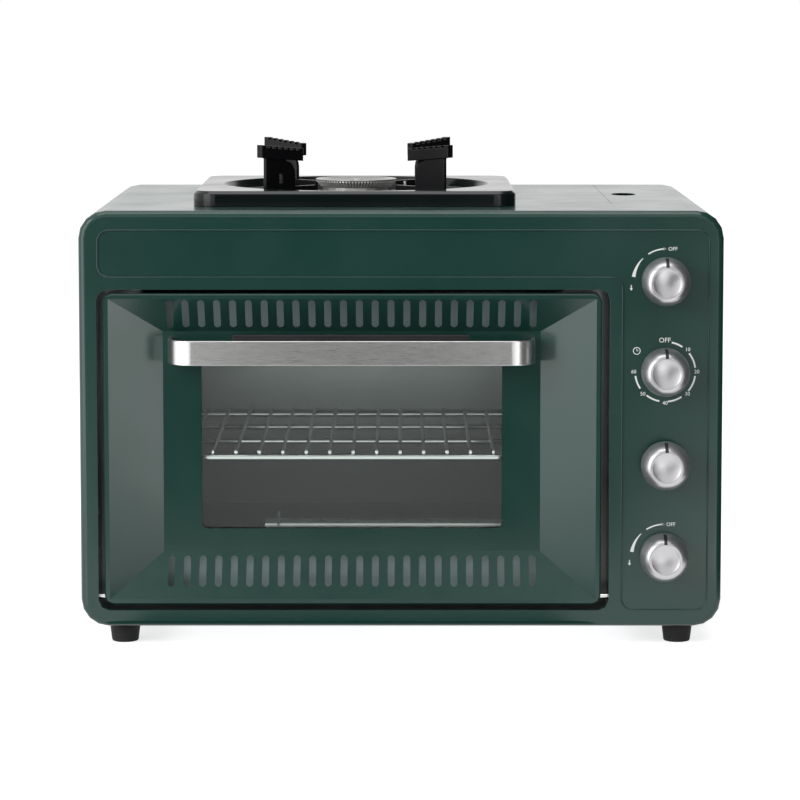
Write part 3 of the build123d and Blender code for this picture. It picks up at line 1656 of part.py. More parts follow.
def all_parts():
    parts = {
        "front_frame": make_front_frame(),
        "outer_shell": make_outer_shell(),
        "back_panel": make_back_panel(),
        "back_screws": make_back_screws(),
        "base_pan": make_base_pan(),
        "foot_screws": make_foot_screws(),
        "door_panel": make_door_panel(),
        "door_inner_panel": make_inner_panel(),
        "door_glass": make_glass(),
        "glass_gasket": make_gasket(),
        "handle_bar": make_handle_bar(),
        "handle_posts": make_handle_posts(),
        "handle_grip": make_grip(),
        "door_screws": as_one(make_door_side_screws() + make_handle_screws()),
        "hinge_blocks": make_hinge_blocks(),
        "hinge_pins": make_hinge_pins(),
        "hinge_bushes": make_hinge_bushes(),
        "oven_liner": make_liner(),
        "door_seal": make_door_seal(),
        "oven_rack": make_rack(),
        "oven_burner": make_oven_burner(),
        "oven_burner_brackets": make_oven_burner_brackets(),
        "thermocouple": make_thermocouple(),
        "oven_electrode": make_oven_electrode(),
        "exhaust_duct": make_exhaust_duct(),
        "heat_shield": make_heat_shield(),
        "stove_plate": make_stove_plate(),
        "burner_body": make_burner_body(),
        "burner_cap": make_burner_cap(),
        "mixing_tube": make_mixing_tube(),
        "burner_bracket": make_burner_bracket(),
        "stove_electrode": make_stove_electrode(),
        "control_plate": make_control_plate(),
        "stove_valve": make_stove_valve(),
        "timer_unit": make_timer_unit(),
        "safety_valve": make_safety_valve(),
        "oven_valve": make_oven_valve(),
        "valve_pipes": make_valve_pipes(),
        "burner_pipe": make_burner_pipe(),
        "bay_tray": make_bay_tray(),
        "cartridge_cradle": make_cradle(),
        "regulator": make_regulator(),
        "cartridge_lid": make_lid(),
        "lid_hinge_pin": make_lid_pin(),
    }
    foot_names = ("foot_front_left", "foot_front_right", "foot_rear_left", "foot_rear_right")
    for name, (x, depth) in zip(foot_names, foot_places()):
        parts[name] = make_foot(x, depth)
    for name in knob_heights:
        parts[name + "_knob"] = make_knob(name)
        parts[name + "_stem"] = make_stem(name)
    spokes = {"front_right": -45, "rear_right": 45, "rear_left": 135, "front_left": -135}
    for place, angle in spokes.items():
        parts["pan_support_" + place] = make_pan_support(angle, split=place.endswith("left"))
    return parts


os.makedirs("parts", exist_ok=True)
for part_name, shape in all_parts().items():
    export_step(shape, "parts/" + part_name + ".step")
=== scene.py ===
import json
import math

import bmesh
import bpy
from mathutils import Matrix, Vector
from mathutils.bvhtree import BVHTree


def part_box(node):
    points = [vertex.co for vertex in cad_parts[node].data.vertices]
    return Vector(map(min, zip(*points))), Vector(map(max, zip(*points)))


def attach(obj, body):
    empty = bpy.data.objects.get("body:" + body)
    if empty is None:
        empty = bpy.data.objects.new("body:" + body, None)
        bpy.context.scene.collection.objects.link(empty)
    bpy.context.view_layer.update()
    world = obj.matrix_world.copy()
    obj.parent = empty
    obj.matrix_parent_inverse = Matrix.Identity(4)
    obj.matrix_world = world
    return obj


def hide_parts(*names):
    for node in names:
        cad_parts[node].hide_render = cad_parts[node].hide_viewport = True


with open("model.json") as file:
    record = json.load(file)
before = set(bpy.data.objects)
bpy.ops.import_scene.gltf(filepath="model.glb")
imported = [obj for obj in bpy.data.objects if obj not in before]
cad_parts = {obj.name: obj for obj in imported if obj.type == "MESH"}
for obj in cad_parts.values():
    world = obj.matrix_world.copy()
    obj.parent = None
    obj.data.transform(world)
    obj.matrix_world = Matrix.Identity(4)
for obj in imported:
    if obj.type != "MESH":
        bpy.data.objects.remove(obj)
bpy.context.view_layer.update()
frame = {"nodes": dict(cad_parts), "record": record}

# Portable gas oven: the CAD nodes with their finishes, and the finer pieces that stand for some of them.
# Lengths are in metres, in the same frame as the CAD: X to the right, Y to the back, Z up.

MM = 0.001
nodes = frame["nodes"]


def mid(node):
    """Middle of a CAD node's box."""
    low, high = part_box(node)
    return (low + high) / 2


front_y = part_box("front_frame")[0].y


# Shader groups


def new_group(name, inputs, outputs):
    """Shader group with its sockets, given as name, kind and starting value."""
    group = bpy.data.node_groups.new(name, "ShaderNodeTree")
    for label, kind, value in inputs:
        socket = group.interface.new_socket(label, in_out="INPUT", socket_type="NodeSocket" + kind)
        if value is not None:
            socket.default_value = value
    for label, kind in outputs:
        group.interface.new_socket(label, in_out="OUTPUT", socket_type="NodeSocket" + kind)
    source = group.nodes.new("NodeGroupInput")
    result = group.nodes.new("NodeGroupOutput")
    return group, source, result


def add_node(tree, kind, **settings):
    """New node of a kind, with its own settings."""
    node = tree.nodes.new(kind)
    for name, value in settings.items():
        setattr(node, name, value)
    return node


def feed(tree, socket, value):
    """Gives an input its plain value, or a link where the value is another node's output."""
    if isinstance(value, bpy.types.NodeSocket):
        tree.links.new(value, socket)
    else:
        socket.default_value = value


def math_node(tree, operation, a, b=0.0, clamp=False):
    """Output of a sum worked out from two values."""
    node = add_node(tree, "ShaderNodeMath", operation=operation, use_clamp=clamp)
    feed(tree, node.inputs[0], a)
    feed(tree, node.inputs[1], b)
    return node.outputs[0]


def noise(tree, vector, scale, detail, rough):
    """Output of a noise over the places that a vector gives."""
    node = add_node(tree, "ShaderNodeTexNoise")
    for label, value in (("Vector", vector), ("Scale", scale), ("Detail", detail), ("Roughness", rough)):
        feed(tree, node.inputs[label], value)
    return node.outputs["Fac"]


def spread(tree, value, start, end, low=0.0, high=1.0):
    """Value that goes from low to high while another goes from start to end."""
    node = add_node(tree, "ShaderNodeMapRange", clamp=True)
    settings = (("Value", value), ("From Min", start), ("From Max", end), ("To Min", low), ("To Max", high))
    for label, setting in settings:
        feed(tree, node.inputs[label], setting)
    return node.outputs["Result"]


def object_place(tree):
    """Place on the piece, in metres of the shared frame."""
    return add_node(tree, "ShaderNodeTexCoord").outputs["Object"]


def make_edge_wear_group():
    """Mask of worn outer edges, broken up by a noise."""
    group, source, result = new_group(
        "Edge wear",
        [("Width", "Float", 0.6 * MM), ("Amount", "Float", 0.5), ("Patch scale", "Float", 90.0)],
        [("Mask", "Float")],
    )
    rounded = add_node(group, "ShaderNodeBevel", samples=4)
    group.links.new(source.outputs["Width"], rounded.inputs["Radius"])
    plain = add_node(group, "ShaderNodeNewGeometry")
    dot = add_node(group, "ShaderNodeVectorMath", operation="DOT_PRODUCT")
    group.links.new(rounded.outputs["Normal"], dot.inputs[0])
    group.links.new(plain.outputs["Normal"], dot.inputs[1])
    bent = math_node(group, "SUBTRACT", 1.0, dot.outputs["Value"], clamp=True)
    patches = spread(group, noise(group, object_place(group), source.outputs["Patch scale"], 4.0, 0.6), 0.42, 0.62)
    worn = math_node(group, "MULTIPLY", spread(group, bent, 0.04, 0.28), patches)
    group.links.new(math_node(group, "MULTIPLY", worn, source.outputs["Amount"], clamp=True), result.inputs["Mask"])
    return group


def make_grain_group():
    """Fine unevenness of a coat or casting: a height, and a slow change of roughness."""
    group, source, result = new_group(
        "Surface grain",
        [("Scale", "Float", 900.0), ("Rough low", "Float", 0.25), ("Rough high", "Float", 0.35)],
        [("Height", "Float"), ("Roughness", "Float"), ("Tone", "Float")],
    )
    place = object_place(group)
    fine = noise(group, place, source.outputs["Scale"], 3.0, 0.55)
    slow = noise(group, place, 14.0, 3.0, 0.6)
    rough = spread(group, slow, 0.3, 0.7, source.outputs["Rough low"], source.outputs["Rough high"])
    group.links.new(fine, result.inputs["Height"])
    group.links.new(rough, result.inputs["Roughness"])
    group.links.new(slow, result.inputs["Tone"])
    return group


def make_brushed_group():
    """Fine lines of a brushed or drawn metal along one axis, as a height and a tone."""
    group, source, result = new_group(
        "Brushed lines",
        [("Stretch", "Vector", (1.0, 90.0, 90.0)), ("Scale", "Float", 40.0)],
        [("Height", "Float"), ("Tone", "Float")],
    )
    pulled = add_node(group, "ShaderNodeVectorMath", operation="MULTIPLY")
    group.links.new(object_place(group), pulled.inputs[0])
    group.links.new(source.outputs["Stretch"], pulled.inputs[1])
    lines = noise(group, pulled.outputs["Vector"], source.outputs["Scale"], 4.0, 0.6)
    group.links.new(lines, result.inputs["Height"])
    group.links.new(spread(group, lines, 0.25, 0.75), result.inputs["Tone"])
    return group


def make_dust_group():
    """Thin settled dust on faces that look up, broken up by a noise."""
    group, source, result = new_group("Settled dust", [("Amount", "Float", 0.1)], [("Mask", "Float")])
    plain = add_node(group, "ShaderNodeNewGeometry")
    split = add_node(group, "ShaderNodeSeparateXYZ")
    group.links.new(plain.outputs["Normal"], split.inputs[0])
    upward = spread(group, split.outputs["Z"], 0.3, 1.0)
    patches = spread(group, noise(group, object_place(group), 60.0, 6.0, 0.65), 0.35, 0.7)
    mask = math_node(group, "MULTIPLY", upward, patches)
    group.links.new(math_node(group, "MULTIPLY", mask, source.outputs["Amount"], clamp=True), result.inputs["Mask"])
    return group


edge_wear = make_edge_wear_group()
surface_grain = make_grain_group()
brushed_lines = make_brushed_group()
settled_dust = make_dust_group()


# Finishes

dust_colour = (0.42, 0.42, 0.40)
line_depth = 0.01 * MM


def new_finish(name, **constants):
    """Material with its Principled shader, whose plain values are set on its own sockets."""
    material = bpy.data.materials.new(name)
    material.use_nodes = True
    shader = material.node_tree.nodes["Principled BSDF"]
    for label, value in constants.items():
        shader.inputs[label.replace("_", " ")].default_value = value
    return material, material.node_tree, shader


def use_group(tree, group, **values):
    """A shared group placed in a material, with the material's own values."""
    node = add_node(tree, "ShaderNodeGroup", node_tree=group)
    for label, value in values.items():
        node.inputs[label.replace("_", " ")].default_value = value
    return node


def mix_colours(tree, factor, first, second):
    """Mix of two colours by a mask; each colour is a tuple or a socket."""
    node = add_node(tree, "ShaderNodeMix", data_type="RGBA")
    tree.links.new(factor, node.inputs["Factor"])
    for label, value in (("A", first), ("B", second)):
        socket = [s for s in node.inputs if s.name == label and s.type == "RGBA"][0]
        feed(tree, socket, (*value, 1.0) if isinstance(value, tuple) else value)
    return [s for s in node.outputs if s.type == "RGBA"][0]


def bump_from(tree, shader, height, distance, strength=1.0):
    """Shallow relief of a finish, from a height that changes over the surface."""
    node = add_node(tree, "ShaderNodeBump")
    node.inputs["Strength"].default_value = strength
    node.inputs["Distance"].default_value = distance
    tree.links.new(height, node.inputs["Height"])
    tree.links.new(node.outputs["Normal"], shader.inputs["Normal"])


def shade(colour, factor):
    """Lighter or darker tone of a colour."""
    return tuple(min(1.0, channel * factor) for channel in colour)


def coated(name, colour, worn_colour, rough, wear, dust=0.05, peel=1200.0, peel_depth=0.01 * MM, **constants):
    """Paint, enamel or lacquer: slow change of tone, orange-peel grain, worn edges, a little dust."""
    material, tree, shader = new_finish(name, **constants)
    grain = use_group(tree, surface_grain, Scale=peel, Rough_low=rough[0], Rough_high=rough[1])
    base = mix_colours(tree, grain.outputs["Tone"], shade(colour, 0.93), shade(colour, 1.07))
    edges = use_group(tree, edge_wear, Amount=wear)
    base = mix_colours(tree, edges.outputs["Mask"], base, worn_colour)
    film = use_group(tree, settled_dust, Amount=dust)
    base = mix_colours(tree, film.outputs["Mask"], base, dust_colour)
    tree.links.new(base, shader.inputs["Base Color"])
    tree.links.new(grain.outputs["Roughness"], shader.inputs["Roughness"])
    bump_from(tree, shader, grain.outputs["Height"], peel_depth, 0.5)
    return material


def brushed(name, colour, rough, scale, contrast):
    """Bare metal with drawn or brushed lines along X."""
    material, tree, shader = new_finish(name, Metallic=1.0)
    streaks = use_group(tree, brushed_lines, Stretch=(1.0, 90.0, 90.0), Scale=scale)
    base = mix_colours(tree, streaks.outputs["Tone"], shade(colour, 1 - contrast), shade(colour, 1 + contrast))
    tree.links.new(base, shader.inputs["Base Color"])
    tree.links.new(spread(tree, streaks.outputs["Tone"], 0.0, 1.0, *rough), shader.inputs["Roughness"])
    bump_from(tree, shader, streaks.outputs["Height"], line_depth, 0.6)
    return material


def cast(name, colour, rough, metallic=1.0, scale=600.0, depth=0.04 * MM):
    """Cast or sintered metal with a fine even grain."""
    material, tree, shader = new_finish(name, Metallic=metallic)
    grain = use_group(tree, surface_grain, Scale=scale, Rough_low=rough[0], Rough_high=rough[1])
    base = mix_colours(tree, grain.outputs["Tone"], shade(colour, 0.85), shade(colour, 1.12))
    tree.links.new(base, shader.inputs["Base Color"])
    tree.links.new(grain.outputs["Roughness"], shader.inputs["Roughness"])
    bump_from(tree, shader, grain.outputs["Height"], depth)
    return material


def make_glass_finish():
    """Faintly green tempered glass, hardly uneven."""
    material, tree, shader = new_finish(
        "tempered_glass", Base_Color=(0.86, 0.91, 0.89, 1.0), Transmission_Weight=1.0, IOR=1.5, Metallic=0.0
    )
    grain = use_group(tree, surface_grain, Scale=40.0, Rough_low=0.0, Rough_high=0.03)
    tree.links.new(grain.outputs["Roughness"], shader.inputs["Roughness"])
    return material


# Each by its slot in the record, with its colour and the range of its roughness
finish = {
    "green_enamel": coated("green_enamel", (0.0085, 0.0425, 0.0335), (0.05, 0.11, 0.095), (0.17, 0.24), 0.45),
    "black_enamel": coated(
        "plate_enamel", (0.004, 0.007, 0.007), (0.08, 0.09, 0.09), (0.12, 0.20), 0.4, dust=0.03,
        Specular_IOR_Level=0.4,
    ),
    "galvanised_steel": cast("zinc_sheet", (0.52, 0.55, 0.56), (0.36, 0.52), scale=120.0, depth=0.01 * MM),
    "satin_steel": brushed("satin_steel", (0.66, 0.66, 0.65), (0.24, 0.34), scale=70.0, contrast=0.04),
    "chromed_wire": brushed("chromed_wire", (0.74, 0.74, 0.73), (0.10, 0.20), scale=20.0, contrast=0.05),
    "zinc_screws": cast("zinc_screws", (0.66, 0.66, 0.63), (0.22, 0.34), scale=500.0, depth=0.01 * MM),
    "silver_knobs": coated(
        "silver_lacquer", (0.50, 0.495, 0.51), (0.75, 0.75, 0.75), (0.32, 0.40), 0.2, dust=0.02, Metallic=0.9
    ),
    "black_plastic": coated(
        "black_plastic", (0.010, 0.010, 0.011), (0.05, 0.05, 0.05), (0.34, 0.46), 0.3, dust=0.02,
        Specular_IOR_Level=0.3,
    ),
    "black_rubber": coated(
        "black_rubber", (0.016, 0.016, 0.017), (0.05, 0.05, 0.05), (0.55, 0.72), 0.2, dust=0.04, peel=700.0,
        peel_depth=0.05 * MM, Specular_IOR_Level=0.2,
    ),
    "window_glass": make_glass_finish(),
    "cast_burner": cast("burner_casting", (0.55, 0.55, 0.54), (0.26, 0.40)),
    "brass_fittings": cast("turned_brass", (0.62, 0.45, 0.19), (0.22, 0.36), scale=300.0, depth=0.01 * MM),
    "die_cast": cast("die_cast_grey", (0.46, 0.46, 0.47), (0.34, 0.5)),
    "white_ceramic": coated("white_ceramic", (0.78, 0.76, 0.70), (0.85, 0.84, 0.8), (0.12, 0.2), 0.1),
    "support_steel": coated(
        "support_coat", (0.004, 0.004, 0.005), (0.06, 0.06, 0.06), (0.20, 0.30), 0.5, peel=800.0,
        peel_depth=0.03 * MM, Specular_IOR_Level=0.25,
    ),
}
print_ink = coated("dial_ink", (0.80, 0.82, 0.80), (0.6, 0.6, 0.6), (0.45, 0.6), 0.0, dust=0.0)
dark_ink = coated("pointer_ink", (0.008, 0.008, 0.008), (0.05, 0.05, 0.05), (0.5, 0.6), 0.0, dust=0.0)

# Painted shade on the oven lining: it darkens from the upper height down to the lower one
lining_shade_top, lining_shade_bottom = 0.235, 0.150
lining_shade_raggedness = 0.05


def make_lining_finish():
    """Oven lining: drawn steel sheet, with painted shade that darkens it towards the floor."""
    material, tree, shader = new_finish("oven_lining", Metallic=1.0)
    streaks = use_group(tree, brushed_lines, Stretch=(60.0, 60.0, 1.0), Scale=30.0)
    base = mix_colours(tree, streaks.outputs["Tone"], (0.31, 0.33, 0.33), (0.38, 0.40, 0.40))
    place = object_place(tree)
    height = add_node(tree, "ShaderNodeSeparateXYZ")
    tree.links.new(place, height.inputs[0])
    shift = math_node(tree, "MULTIPLY", noise(tree, place, 8.0, 4.0, 0.6), lining_shade_raggedness)
    ragged_height = math_node(tree, "ADD", height.outputs["Z"], shift)
    # Painted shade: the lining turns dark towards the floor, along a ragged edge
    lining_shade = spread(tree, ragged_height, lining_shade_top, lining_shade_bottom)
    base = mix_colours(tree, lining_shade, base, (0.13, 0.135, 0.13))
    tree.links.new(base, shader.inputs["Base Color"])
    tree.links.new(spread(tree, streaks.outputs["Tone"], 0.0, 1.0, 0.30, 0.44), shader.inputs["Roughness"])
    bump_from(tree, shader, streaks.outputs["Height"], line_depth, 0.6)
    return material


oven_steel = make_lining_finish()
inner_panel_coat = coated("inner_panel_coat", (0.48, 0.60, 0.60), (0.4, 0.4, 0.4), (0.38, 0.5), 0.1, Metallic=0.2)
# The burner cap's one metal in two copies: the cap darker, as painted shade, and its teeth much lighter, as a
# painted highlight
machined_cap = cast("machined_cap", (0.34, 0.34, 0.33), (0.20, 0.32), metallic=0.8, scale=900.0, depth=0.01 * MM)
milled_teeth = cast("milled_teeth", (0.86, 0.86, 0.84), (0.20, 0.32), metallic=0.5, scale=900.0, depth=0.01 * MM)

slot_of = {entry["node"]: entry["material_slot"] for entry in frame["record"]["subparts"]}
body_of_node = {n: b for b, members in frame["record"]["behaviour"]["bodies"].items() for n in members}
own_finish = {"oven_liner": oven_steel, "door_inner_panel": inner_panel_coat, "burner_cap": machined_cap}
for node_name, slot_name in slot_of.items():
    nodes[node_name].material_slots[0].material = own_finish.get(node_name, finish[slot_name])


# Pieces


def add_piece(name, mesh, material, body, stands_for=()):
    """Puts a finished mesh into the scene, riding on its CAD body."""
    piece = bpy.data.objects.new(name, mesh)
    bpy.context.scene.collection.objects.link(piece)
    mesh.materials.clear()
    mesh.materials.append(material)
    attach(piece, body)
    if stands_for:
        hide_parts(*stands_for)
    return piece


def mesh_from(bm, name, smooth_angle=35.0, recalculate=True):
    """Mesh from a bmesh, smooth except at edges sharper than the angle."""
    if recalculate:
        bmesh.ops.recalc_face_normals(bm, faces=bm.faces)
    mesh = bpy.data.meshes.new(name)
    bm.to_mesh(mesh)
    bm.free()
    mesh.shade_smooth()
    mesh.set_sharp_from_angle(angle=math.radians(smooth_angle))
    return mesh


same_point = 0.002 * MM
same_plane = math.radians(0.6)


def softened(node, width, smooth_angle=32.0, segments=2):
    """Finer copy of a CAD node: its triangles joined, its sharp edges rounded, its facets smooth."""
    source = nodes[node]
    bm = bmesh.new()
    bm.from_mesh(source.data)
    bmesh.ops.remove_doubles(bm, verts=bm.verts, dist=same_point)
    bmesh.ops.dissolve_limit(bm, angle_limit=same_plane, verts=bm.verts, edges=bm.edges)
    mesh = mesh_from(bm, node + "_finished", smooth_angle, recalculate=False)
    material = source.material_slots[0].material
    piece = add_piece(node + "_finished", mesh, material, body_of_node[node], [node])
    if width > 0:
        bevel = piece.modifiers.new("Rounded edges", "BEVEL")
        bevel.width = width
        bevel.segments = segments
        bevel.limit_method = "ANGLE"
        bevel.angle_limit = math.radians(smooth_angle)
        bevel.use_clamp_overlap = True
        flats = piece.modifiers.new("Flat faces", "WEIGHTED_NORMAL")
        flats.mode = "FACE_AREA"
        flats.weight = 100
        flats.keep_sharp = True


# Width of the rounding on each node's sharp edges
rounded_nodes = {
    "front_frame": 0.38 * MM,
    "outer_shell": 0.25 * MM,
    "cartridge_lid": 0.25 * MM,
    "door_panel": 0.28 * MM,
    "door_inner_panel": 0.2 * MM,
    "back_panel": 0.2 * MM,
    "base_pan": 0.2 * MM,
    "stove_plate": 1.0 * MM,
    "handle_posts": 0.4 * MM,
    "pan_support_front_left": 0.7 * MM,
    "pan_support_front_right": 0.7 * MM,
    "pan_support_rear_left": 0.7 * MM,
    "pan_support_rear_right": 0.7 * MM,
    "foot_front_left": 0.8 * MM,
    "foot_front_right": 0.8 * MM,
    "foot_rear_left": 0.8 * MM,
    "foot_rear_right": 0.8 * MM,
    "oven_burner": 0.15 * MM,
    "oven_liner": 0.2 * MM,
    "bay_tray": 0.2 * MM,
    "cartridge_cradle": 0.2 * MM,
    "regulator": 0.5 * MM,
    "handle_grip": 0.6 * MM,
    "handle_bar": 0.7 * MM,
}
# The door's bevels turn by only about 26 degrees and stay crisp; bent and turned stock is smooth past that
door_smooth_angle = 24.5
tube_smooth_angle = 50.0
own_softening = {
    "door_panel": {"smooth_angle": door_smooth_angle},
    "handle_bar": {"smooth_angle": tube_smooth_angle, "segments": 3},
}
for node_name, edge_width in rounded_nodes.items():
    softened(node_name, edge_width, **own_softening.get(node_name, {}))
tube_nodes = ("hinge_pins", "lid_hinge_pin", "mixing_tube", "burner_pipe", "thermocouple", "valve_pipes")
for node_name in tube_nodes:
    softened(node_name, 0.0, smooth_angle=tube_smooth_angle)


def revolve(profile, segments):
    """Closed surface of revolution about Z from radius and height points, as a bmesh."""
    bm = bmesh.new()
    rings = []
    for radius, height in profile:
        if radius == 0:
            rings.append([bm.verts.new((0, 0, height))])
            continue
        ring = []
        for i in range(segments):
            turn = 2 * math.pi * i / segments
            ring.append(bm.verts.new((radius * math.cos(turn), radius * math.sin(turn), height)))
        rings.append(ring)
    for low, high in zip(rings, rings[1:]):
        for i in range(segments):
            j = (i + 1) % segments
            corners = [low[i % len(low)], low[j % len(low)], high[j % len(high)], high[i % len(high)]]
            unique = list(dict.fromkeys(corners))
            if len(unique) > 2:
                bm.faces.new(unique)
    return bm


def placed(bm, matrix):
    """The same bmesh, moved and turned by a matrix."""
    bmesh.ops.transform(bm, matrix=matrix, verts=bm.verts)
    return bm


facing_front = Matrix.Rotation(math.radians(90), 4, "X")
turned_sides = 96


# Knobs

knob_names = ("stove", "timer", "safety", "oven")
knob_radius = 18.5 * MM
knob_skirt = 3.0 * MM
knob_ridge = 11.4 * MM
knob_ridge_inside = 10.8 * MM
knob_dish = 10.4 * MM
knob_dish_drop = 2.0 * MM
ring_steps = 14
dish_steps = 12
pointer_half_width = 1.25 * MM
pointer_start, pointer_sweep = 86, 68
pointer_steps = 8
ink_thickness = 0.06 * MM


def knob_profile(height):
    """Half section of a knob: recessed back, skirt, rounded ring, ridge and dished face."""
    points = [(0, 0.5 * MM), (knob_radius - 2 * MM, 0.5 * MM), (knob_radius - 1.6 * MM, 0)]
    points += [(knob_radius - 0.3 * MM, 0), (knob_radius, 0.4 * MM), (knob_radius, knob_skirt)]
    span = height - knob_skirt
    reach = knob_radius - knob_ridge
    for i in range(1, ring_steps + 1):
        turn = math.radians(90 * i / ring_steps)
        points.append((knob_ridge + reach * math.cos(turn), knob_skirt + span * math.sin(turn)))
    points.append((knob_ridge_inside, height - 0.15 * MM))
    for i in range(dish_steps + 1):
        share = 1 - i / dish_steps
        points.append((knob_dish * share, height - 0.4 * MM - knob_dish_drop * (1 - share * share)))
    return points


def pointer_strip(height):
    """Inked mark on the ring at twelve o'clock, laid just over the knob's surface."""
    bm = bmesh.new()
    reach = knob_radius - knob_ridge
    span = height - knob_skirt
    rows = []
    for i in range(pointer_steps + 1):
        turn = math.radians(pointer_start - pointer_sweep * i / pointer_steps)
        radius = knob_ridge + (reach + ink_thickness) * math.cos(turn)
        level = knob_skirt + (span + ink_thickness) * math.sin(turn)
        rows.append([bm.verts.new((x, radius, level)) for x in (-pointer_half_width, pointer_half_width)])
    for low, high in zip(rows, rows[1:]):
        bm.faces.new((low[0], low[1], high[1], high[0]))
    return bm


for knob in knob_names:
    low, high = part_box(knob + "_knob")
    centre = (low + high) / 2
    height = high.y - low.y
    place = Matrix.Translation((centre.x, high.y, centre.z)) @ facing_front
    body = body_of_node[knob + "_knob"]
    turned = placed(revolve(knob_profile(height), turned_sides), place)
    mesh = mesh_from(turned, knob + "_knob_turned", tube_smooth_angle)
    add_piece(knob + "_knob_turned", mesh, finish["silver_knobs"], body, [knob + "_knob"])
    strip = mesh_from(placed(pointer_strip(height), place), knob + "_pointer", recalculate=False)
    add_piece(knob + "_pointer", strip, dark_ink, body)


# Dial print

panel_mesh = nodes["front_frame"].data
panel_tree = BVHTree.FromPolygons([v.co for v in panel_mesh.vertices], [p.vertices for p in panel_mesh.polygons])
# Height of a capital as a share of the figures' size
capital_share = 0.70
capital_height = 2.8 * MM
big_capital_height = 3.6 * MM
gas_arc_radius = 24.8 * MM
timer_arc_radius = 22.9 * MM
timer_figure_radius = 24.0 * MM
timer_arcs = ((12, 34), (52, 82), (98, 130), (147, 175), (191, 218), (236, 262))
timer_arc_width = 1.3 * MM
arc_step = 5
clock_radius = 2.6 * MM
clock_ring_width = 0.55 * MM
clock_hand_width = 0.45 * MM


def panel_y(x, z):
    """Y of the control panel's face behind a point."""
    hit = panel_tree.ray_cast(Vector((x, -1, z)), Vector((0, 1, 0)))[0]
    return hit.y


def join_into(bm, other):
    """Adds another bmesh to a bmesh."""
    mesh = bpy.data.meshes.new("joined")
    other.to_mesh(mesh)
    other.free()
    bm.from_mesh(mesh)
    bpy.data.meshes.remove(mesh)


def print_line(bm, line, back_y):
    """Printed line through points of X, Z and width, as a thin closed solid on the panel."""
    rows = []
    for i, (x, z, width) in enumerate(line):
        before, after = line[max(i - 1, 0)], line[min(i + 1, len(line) - 1)]
        along = Vector((after[0] - before[0], after[1] - before[1])).normalized()
        side = Vector((-along.y, along.x)) * width / 2
        row = []
        for sign, y in ((1, back_y), (-1, back_y), (-1, back_y - ink_thickness), (1, back_y - ink_thickness)):
            row.append(bm.verts.new((x + sign * side.x, y, z + sign * side.y)))
        rows.append(row)
    for low, high in zip(rows, rows[1:]):
        for i in range(4):
            j = (i + 1) % 4
            bm.faces.new((low[i], low[j], high[j], high[i]))
    bm.faces.new(rows[0])
    bm.faces.new(rows[-1][::-1])


def dial_arc(centre, radius, start, end, widths):
    """Points of an arc about a knob; angles in degrees, clockwise from the top."""
    steps = max(4, int(abs(end - start) / arc_step))
    line = []
    for i in range(steps + 1):
        share = i / steps
        turn = math.radians(start + (end - start) * share)
        width = widths[0] + (widths[1] - widths[0]) * share
        line.append((centre.x + radius * math.sin(turn), centre.z + radius * math.cos(turn), width))
    return line


def print_figures(bm, words, x, z, capital, back_y, align="CENTER"):
    """Printed figures standing upright on the panel, with their middle or start at a point."""
    curve = bpy.data.curves.new("figures", "FONT")
    curve.body = words
    curve.size = capital / capital_share
    curve.align_x = align
    curve.align_y = "CENTER"
    curve.extrude = ink_thickness / 2
    curve.offset = 0.02 * MM
    curve.resolution_u = 3
    holder = bpy.data.objects.new("figures", curve)
    mesh = bpy.data.meshes.new_from_object(holder)
    bpy.data.objects.remove(holder)
    bpy.data.curves.remove(curve)
    mesh.transform(Matrix.Translation((x, back_y - ink_thickness / 2, z)) @ facing_front)
    bm.from_mesh(mesh)
    bpy.data.meshes.remove(mesh)


def gas_dial(knob):
    """Print of a gas knob: off mark, low setting, a line that widens to high, and the lighting mark."""
    centre = mid(knob + "_knob")
    face = panel_y(centre.x - 25 * MM, centre.z)
    bm = bmesh.new()
    low_line = (-1, -33, (1.0 * MM, 1.0 * MM))
    widening_line = (-45, -82, (0.5 * MM, 2.8 * MM))
    off_mark = (0.0, -4.5, (0.4 * MM, 2.2 * MM))
    for start, end, widths in (low_line, widening_line, off_mark):
        print_line(bm, dial_arc(centre, gas_arc_radius, start, end, widths), face)
    tip = Vector((centre.x - 26.3 * MM, 0, centre.z - 7.0 * MM))
    shaft = [(tip.x, tip.z + 4.2 * MM, 0.7 * MM), (tip.x, tip.z + 1.8 * MM, 0.7 * MM)]
    head = [(tip.x, tip.z + 1.8 * MM, 2.4 * MM), (tip.x, tip.z, 0.2 * MM)]
    print_line(bm, shaft, face)
    print_line(bm, head, face)
    print_figures(bm, "OFF", centre.x + 1.6 * MM, centre.z + 24.6 * MM, capital_height, face, "LEFT")
    return mesh_from(bm, knob + "_dial_print", 30.0)


def timer_dial():
    """Print of the timer: OFF at the top, figures every ten minutes, arcs between them and a clock face."""
    centre = mid("timer_knob")
    face = panel_y(centre.x - 22 * MM, centre.z)
    bm = bmesh.new()
    for start, end in timer_arcs:
        print_line(bm, dial_arc(centre, timer_arc_radius, start, end, (timer_arc_width, timer_arc_width)), face)
    for i in range(1, 7):
        turn = math.radians(45 * i)
        x = centre.x + timer_figure_radius * math.sin(turn)
        z = centre.z + timer_figure_radius * math.cos(turn)
        print_figures(bm, str(10 * i), x, z, capital_height, face)
    print_figures(bm, "OFF", centre.x - 0.5 * MM, centre.z + timer_figure_radius, big_capital_height, face)
    clock = Vector((centre.x - 21.8 * MM, 0, centre.z + 16.0 * MM))
    print_line(bm, dial_arc(clock, clock_radius, 0, 360, (clock_ring_width, clock_ring_width)), face)
    long_hand = ((clock.x, clock.z + 1.7 * MM), (clock.x, clock.z - 0.2 * MM))
    short_hand = ((clock.x - 0.2 * MM, clock.z), (clock.x + 1.3 * MM, clock.z))
    for hand in (long_hand, short_hand):
        print_line(bm, [(x, z, clock_hand_width) for x, z in hand], face)
    return mesh_from(bm, "timer_dial_print", 30.0)


for knob in ("stove", "oven"):
    add_piece(knob + "_dial_print", gas_dial(knob), print_ink, "body")
add_piece("timer_dial_print", timer_dial(), print_ink, "body")


# Pressed line round the control field

